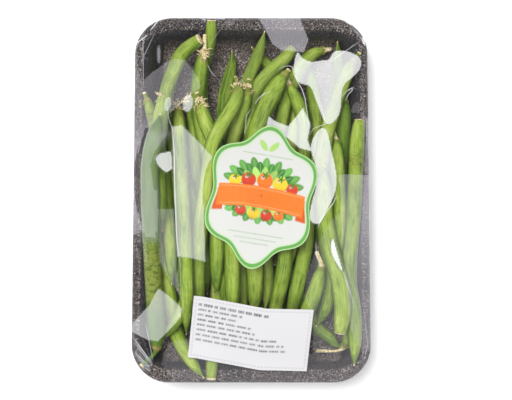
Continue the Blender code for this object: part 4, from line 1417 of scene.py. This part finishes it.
def badge_points():
    """Places on the badge, ring by ring and then its middle, and their share of the way to its edge."""
    rings = round(BADGE_HALF_SIZE[0] / LABEL_CELL)
    share = (np.arange(1, rings + 1) / rings)[:, None]
    angle = np.arange(BADGE_TURNS) * 2 * math.pi / BADGE_TURNS
    swell = 1 - BADGE_WAVE_SHARE * np.cos(BADGE_WAVES * angle)
    u = share * np.cos(angle) * swell * BADGE_HALF_SIZE[0]
    v = share * np.sin(angle) * swell * BADGE_HALF_SIZE[1]
    return np.append(u, 0), np.append(v, 0), np.append(np.broadcast_to(share, u.shape), 0)


def make_badge(film_grid, material):
    """The badge: rings of points from its middle to its waved edge."""
    laid = laid_label(np.array(BADGE_HALF_SIZE) * (1 + BADGE_WAVE_SHARE), badge_place, film_grid)
    u, v, share = badge_points()
    x, y = badge_place(u, v)
    points = np.column_stack((x, y, read_grid(*laid, u, v)))
    middle = len(points) - 1
    faces = loop_faces(middle // BADGE_TURNS, BADGE_TURNS)
    faces += [(middle, a, (a + 1) % BADGE_TURNS) for a in range(BADGE_TURNS)]
    badge = mesh_piece("visual_badge_label", points, faces, material)
    finish_label(badge, "badge_label", "badge", badge_print(u, v, share))


def make_price_label(film_grid, material):
    """The price label: a plain grid of points laid over the film."""
    across, along, height = laid_label(np.array(PRICE_LABEL_SIZE) / 2, price_place, film_grid)
    u, v = np.meshgrid(across, along, indexing="ij")
    points = grid_points(*price_place(u, v), height)
    label = mesh_piece("visual_price_label", points, grid_faces(*u.shape), material)
    finish_label(label, "price_label", "paper", price_print(u, v).reshape(-1, 3))


# Printing


def over(colours, share, paint):
    return colours * (1 - share[..., None]) + share[..., None] * paint


def within(distance):
    """1 inside a shape and 0 outside, from the distance beyond its edge."""
    return smoothstep(SOFT_EDGE, -SOFT_EDGE, distance)


def with_leaf(colours, u, v, centre, angle, length, width, paint):
    """A plain pointed leaf with a pale middle rib, in mm and degrees."""
    turn = math.radians(angle)
    du, dv = u - centre[0] * MM, v - centre[1] * MM
    along = (du * math.cos(turn) + dv * math.sin(turn)) / (length * MM / 2)
    across = -du * math.sin(turn) + dv * math.cos(turn)
    half = width * MM / 2 * np.sqrt(np.clip(1 - np.abs(along) ** LEAF_POINT, 0, 1))
    colours = over(colours, within(np.abs(across) - half) * (half > 0), paint)
    rib = within(np.abs(across) - LEAF_RIB) * (np.abs(along) < 0.8)
    return over(colours, 0.6 * rib, PALE_GREEN)


def with_fruit(colours, u, v, centre, radius, paint):
    """A round fruit with a darker lower side, a pale glint and a small green star."""
    du, dv = u - centre[0] * MM, v - centre[1] * MM
    radius *= MM
    apart = np.hypot(du, dv)
    inside = within(apart - radius)
    colours = over(colours, inside, paint)
    colours = over(colours, inside * smoothstep(-0.2 * radius, -1.2 * radius, dv) * 0.6, paint * 0.35)
    glint = within(np.hypot(du + 0.35 * radius, dv - 0.35 * radius) - 0.22 * radius)
    colours = over(colours, 0.7 * glint, WHITE)
    star = 0.35 * radius * (1 + 0.5 * np.cos(5 * np.arctan2(dv - 0.7 * radius, du)))
    return over(colours, within(np.hypot(du, dv - 0.7 * radius) - star), DEEP_GREEN)


def with_leaves(colours, u, v):
    """A fan of leaves above the badge's middle and a smaller one below it."""
    for row, (count, reach, size, paint) in enumerate(LEAF_ROWS):
        for number in range(count):
            angle = 180 * (number + 0.5) / count
            x, y = math.cos(math.radians(angle)), math.sin(math.radians(angle))
            shade = paint * (0.8 + 0.4 * ((number * 7 + row * 3) % 5) / 4)
            for sign, middle, squeeze in FANS:
                centre = (reach * x, middle + sign * reach * squeeze * y * FAN_HEIGHT)
                length = size * squeeze**0.5
                colours = with_leaf(colours, u, v, centre, sign * angle, length, size * LEAF_SLIMNESS, shade)
    return colours


def badge_print(u, v, share):
    """A plain market design: a green border, an orange ribbon, a fan of leaves and a row of round fruit."""
    colours = with_leaves(np.tile(WHITE, (*u.shape, 1)), u, v)
    for centre, radius, paint in FRUIT:
        colours = with_fruit(colours, u, v, centre, radius, paint)
    bend = v - RIBBON_MIDDLE + RIBBON_BEND / MM * u * u
    tail = within(np.abs(bend + RIBBON_TAIL_DROP) - RIBBON_HALF_HEIGHT)
    colours = over(colours, tail * within(RIBBON_TAIL_START - np.abs(u)), DEEP_ORANGE)
    front = within(np.abs(bend) - RIBBON_HALF_HEIGHT) * within(np.abs(u) - RIBBON_HALF_LENGTH)
    colours = over(colours, front, ORANGE)
    stripe = within(np.abs(np.abs(bend) - RIBBON_HALF_HEIGHT + RIBBON_STRIPE_INSET) - FINE_LINE)
    colours = over(colours, 0.8 * stripe * (np.abs(u) < RIBBON_STRIPE_HALF_LENGTH), PALE_ORANGE)
    for line, half_length in PRINT_RULES:
        rule = np.maximum(np.abs(v - line * MM) - RULE_HALF_HEIGHT, np.abs(u) - half_length * MM)
        colours = over(colours, 0.7 * within(rule), GREEN)
    (beside, level), lean, length, width = SPRIG
    for side in (-1, 1):
        centre = (side * beside, level)
        colours = with_leaf(colours, u, v, centre, 90 - side * lean, length, width, LIGHT_GREEN)
    edge = (1 - share) * BADGE_HALF_SIZE[0]
    for inner, paint in BORDER:
        colours = over(colours, within(edge - inner * MM), paint)
    return colours


def price_print(u, v):
    """White paper with a fine broken border and rows of broken strokes."""
    colours = np.tile(PAPER_WHITE, (*u.shape, 1))
    half_x, half_y = (side / 2 for side in PRICE_LABEL_SIZE)
    off = np.abs(np.minimum(half_x - np.abs(u), half_y - np.abs(v)) - PRICE_BORDER_INSET) - FINE_LINE
    dashes = np.sin(2 * math.pi * (u + v) / PRICE_DASH_SPACING) > -0.3
    colours = over(colours, 0.7 * within(off) * dashes, GREY)
    draw = np.random.default_rng(3)
    for number, end in enumerate(PRICE_RULE_ENDS):
        below = np.abs(v - half_y + (FIRST_RULE + RULE_SPACING * number) * MM)
        half_height = RULE_HALF_HEIGHTS[min(number, 1)] * MM
        uneven = 1.9 * np.sin(u / (1.3 * MM) + number)
        strokes = 0.70 + 0.30 * np.sin(2 * math.pi * u / STROKE_SPACING + uneven)
        at = PRICE_RULE_START
        while at < end:
            length = min(draw.uniform(*WORD_LENGTHS), end - at)
            word = np.maximum(below - half_height, np.abs(u - (at + length / 2) * MM) - length / 2 * MM)
            colours = over(colours, draw.uniform(0.75, 1.0) * strokes * within(word), INK)
            at += length + WORD_GAP
    return colours


# Studio


def make_floor(material):
    half = FLOOR_HALF_SIZE
    corners = [(-half, -half, 0), (half, -half, 0), (half, half, 0), (-half, half, 0)]
    mesh_piece("floor", corners, [(0, 1, 2, 3)], material)


def softbox(name, way, distance, size, radiance, colour, in_gloss):
    """A square area light that faces the pack, with its brightness given as radiance."""
    data = bpy.data.lights.new(name, "AREA")
    data.shape = "SQUARE"
    data.size = size
    data.color = colour
    data.energy = radiance * math.pi * size**2
    lamp = bpy.data.objects.new(name, data)
    place = unit(np.array((*way, 1.0))) * distance
    lamp.location = place
    lamp.rotation_euler = Vector(place).to_track_quat("Z", "Y").to_euler()
    lamp.visible_camera = False
    lamp.visible_glossy = in_gloss
    bpy.context.scene.collection.objects.link(lamp)


def make_world():
    """A pale horizon under a dim ceiling."""
    world = bpy.data.worlds.new("studio")
    world.use_nodes = True
    tree = world.node_tree
    background = tree.nodes["Background"]
    place = tree.nodes.new("ShaderNodeTexCoord")
    parts = tree.nodes.new("ShaderNodeSeparateXYZ")
    tree.links.new(place.outputs["Generated"], parts.inputs[0])
    ramp = tree.nodes.new("ShaderNodeValToRGB")
    tree.links.new(parts.outputs["Z"], ramp.inputs[0])
    for stop, (level, colour) in zip(ramp.color_ramp.elements, (HORIZON, CEILING)):
        stop.position = level
        stop.color = colour
    tree.links.new(ramp.outputs[0], background.inputs[0])
    background.inputs[1].default_value = 1.0
    bpy.context.scene.world = world


def make_camera():
    data = bpy.data.cameras.new("camera")
    data.sensor_width = SENSOR_WIDTH
    data.lens = FOCAL_PIXELS * SENSOR_WIDTH / IMAGE_WIDTH
    data.shift_x = (IMAGE_WIDTH / 2 - OPTICAL_AXIS[0]) / IMAGE_WIDTH
    data.shift_y = -(IMAGE_HEIGHT / 2 - OPTICAL_AXIS[1]) / IMAGE_WIDTH
    data.clip_start = 0.01
    camera = bpy.data.objects.new("camera", data)
    camera.location = EYE
    camera.rotation_euler = (CAMERA_TILT, 0, 0)
    bpy.context.scene.collection.objects.link(camera)
    bpy.context.scene.camera = camera


def main():
    make_camera()
    make_floor(floor_material())
    make_world()
    for box in SOFTBOXES:
        softbox(*box)
    bpy.context.scene.view_settings.view_transform = "Standard"
    make_tray(foam_material())
    green = pod_material()
    pods = [make_pod(number, green) for number in range(1, BEANS + 1)]
    x, y = film_plan()
    height = film_heights(x, y, tree_of(pods))
    height, beside_crease, crease_painted_highlight = creased(x, y, height)
    make_film(x, y, height, beside_crease, crease_painted_highlight, film_material())
    across, along, _ = film_lines()
    film_grid = (across, along, height)
    make_badge(film_grid, print_material("badge_print", 0.35))
    make_price_label(film_grid, print_material("price_paper", 0.5))


main()
bpy.context.view_layer.update()
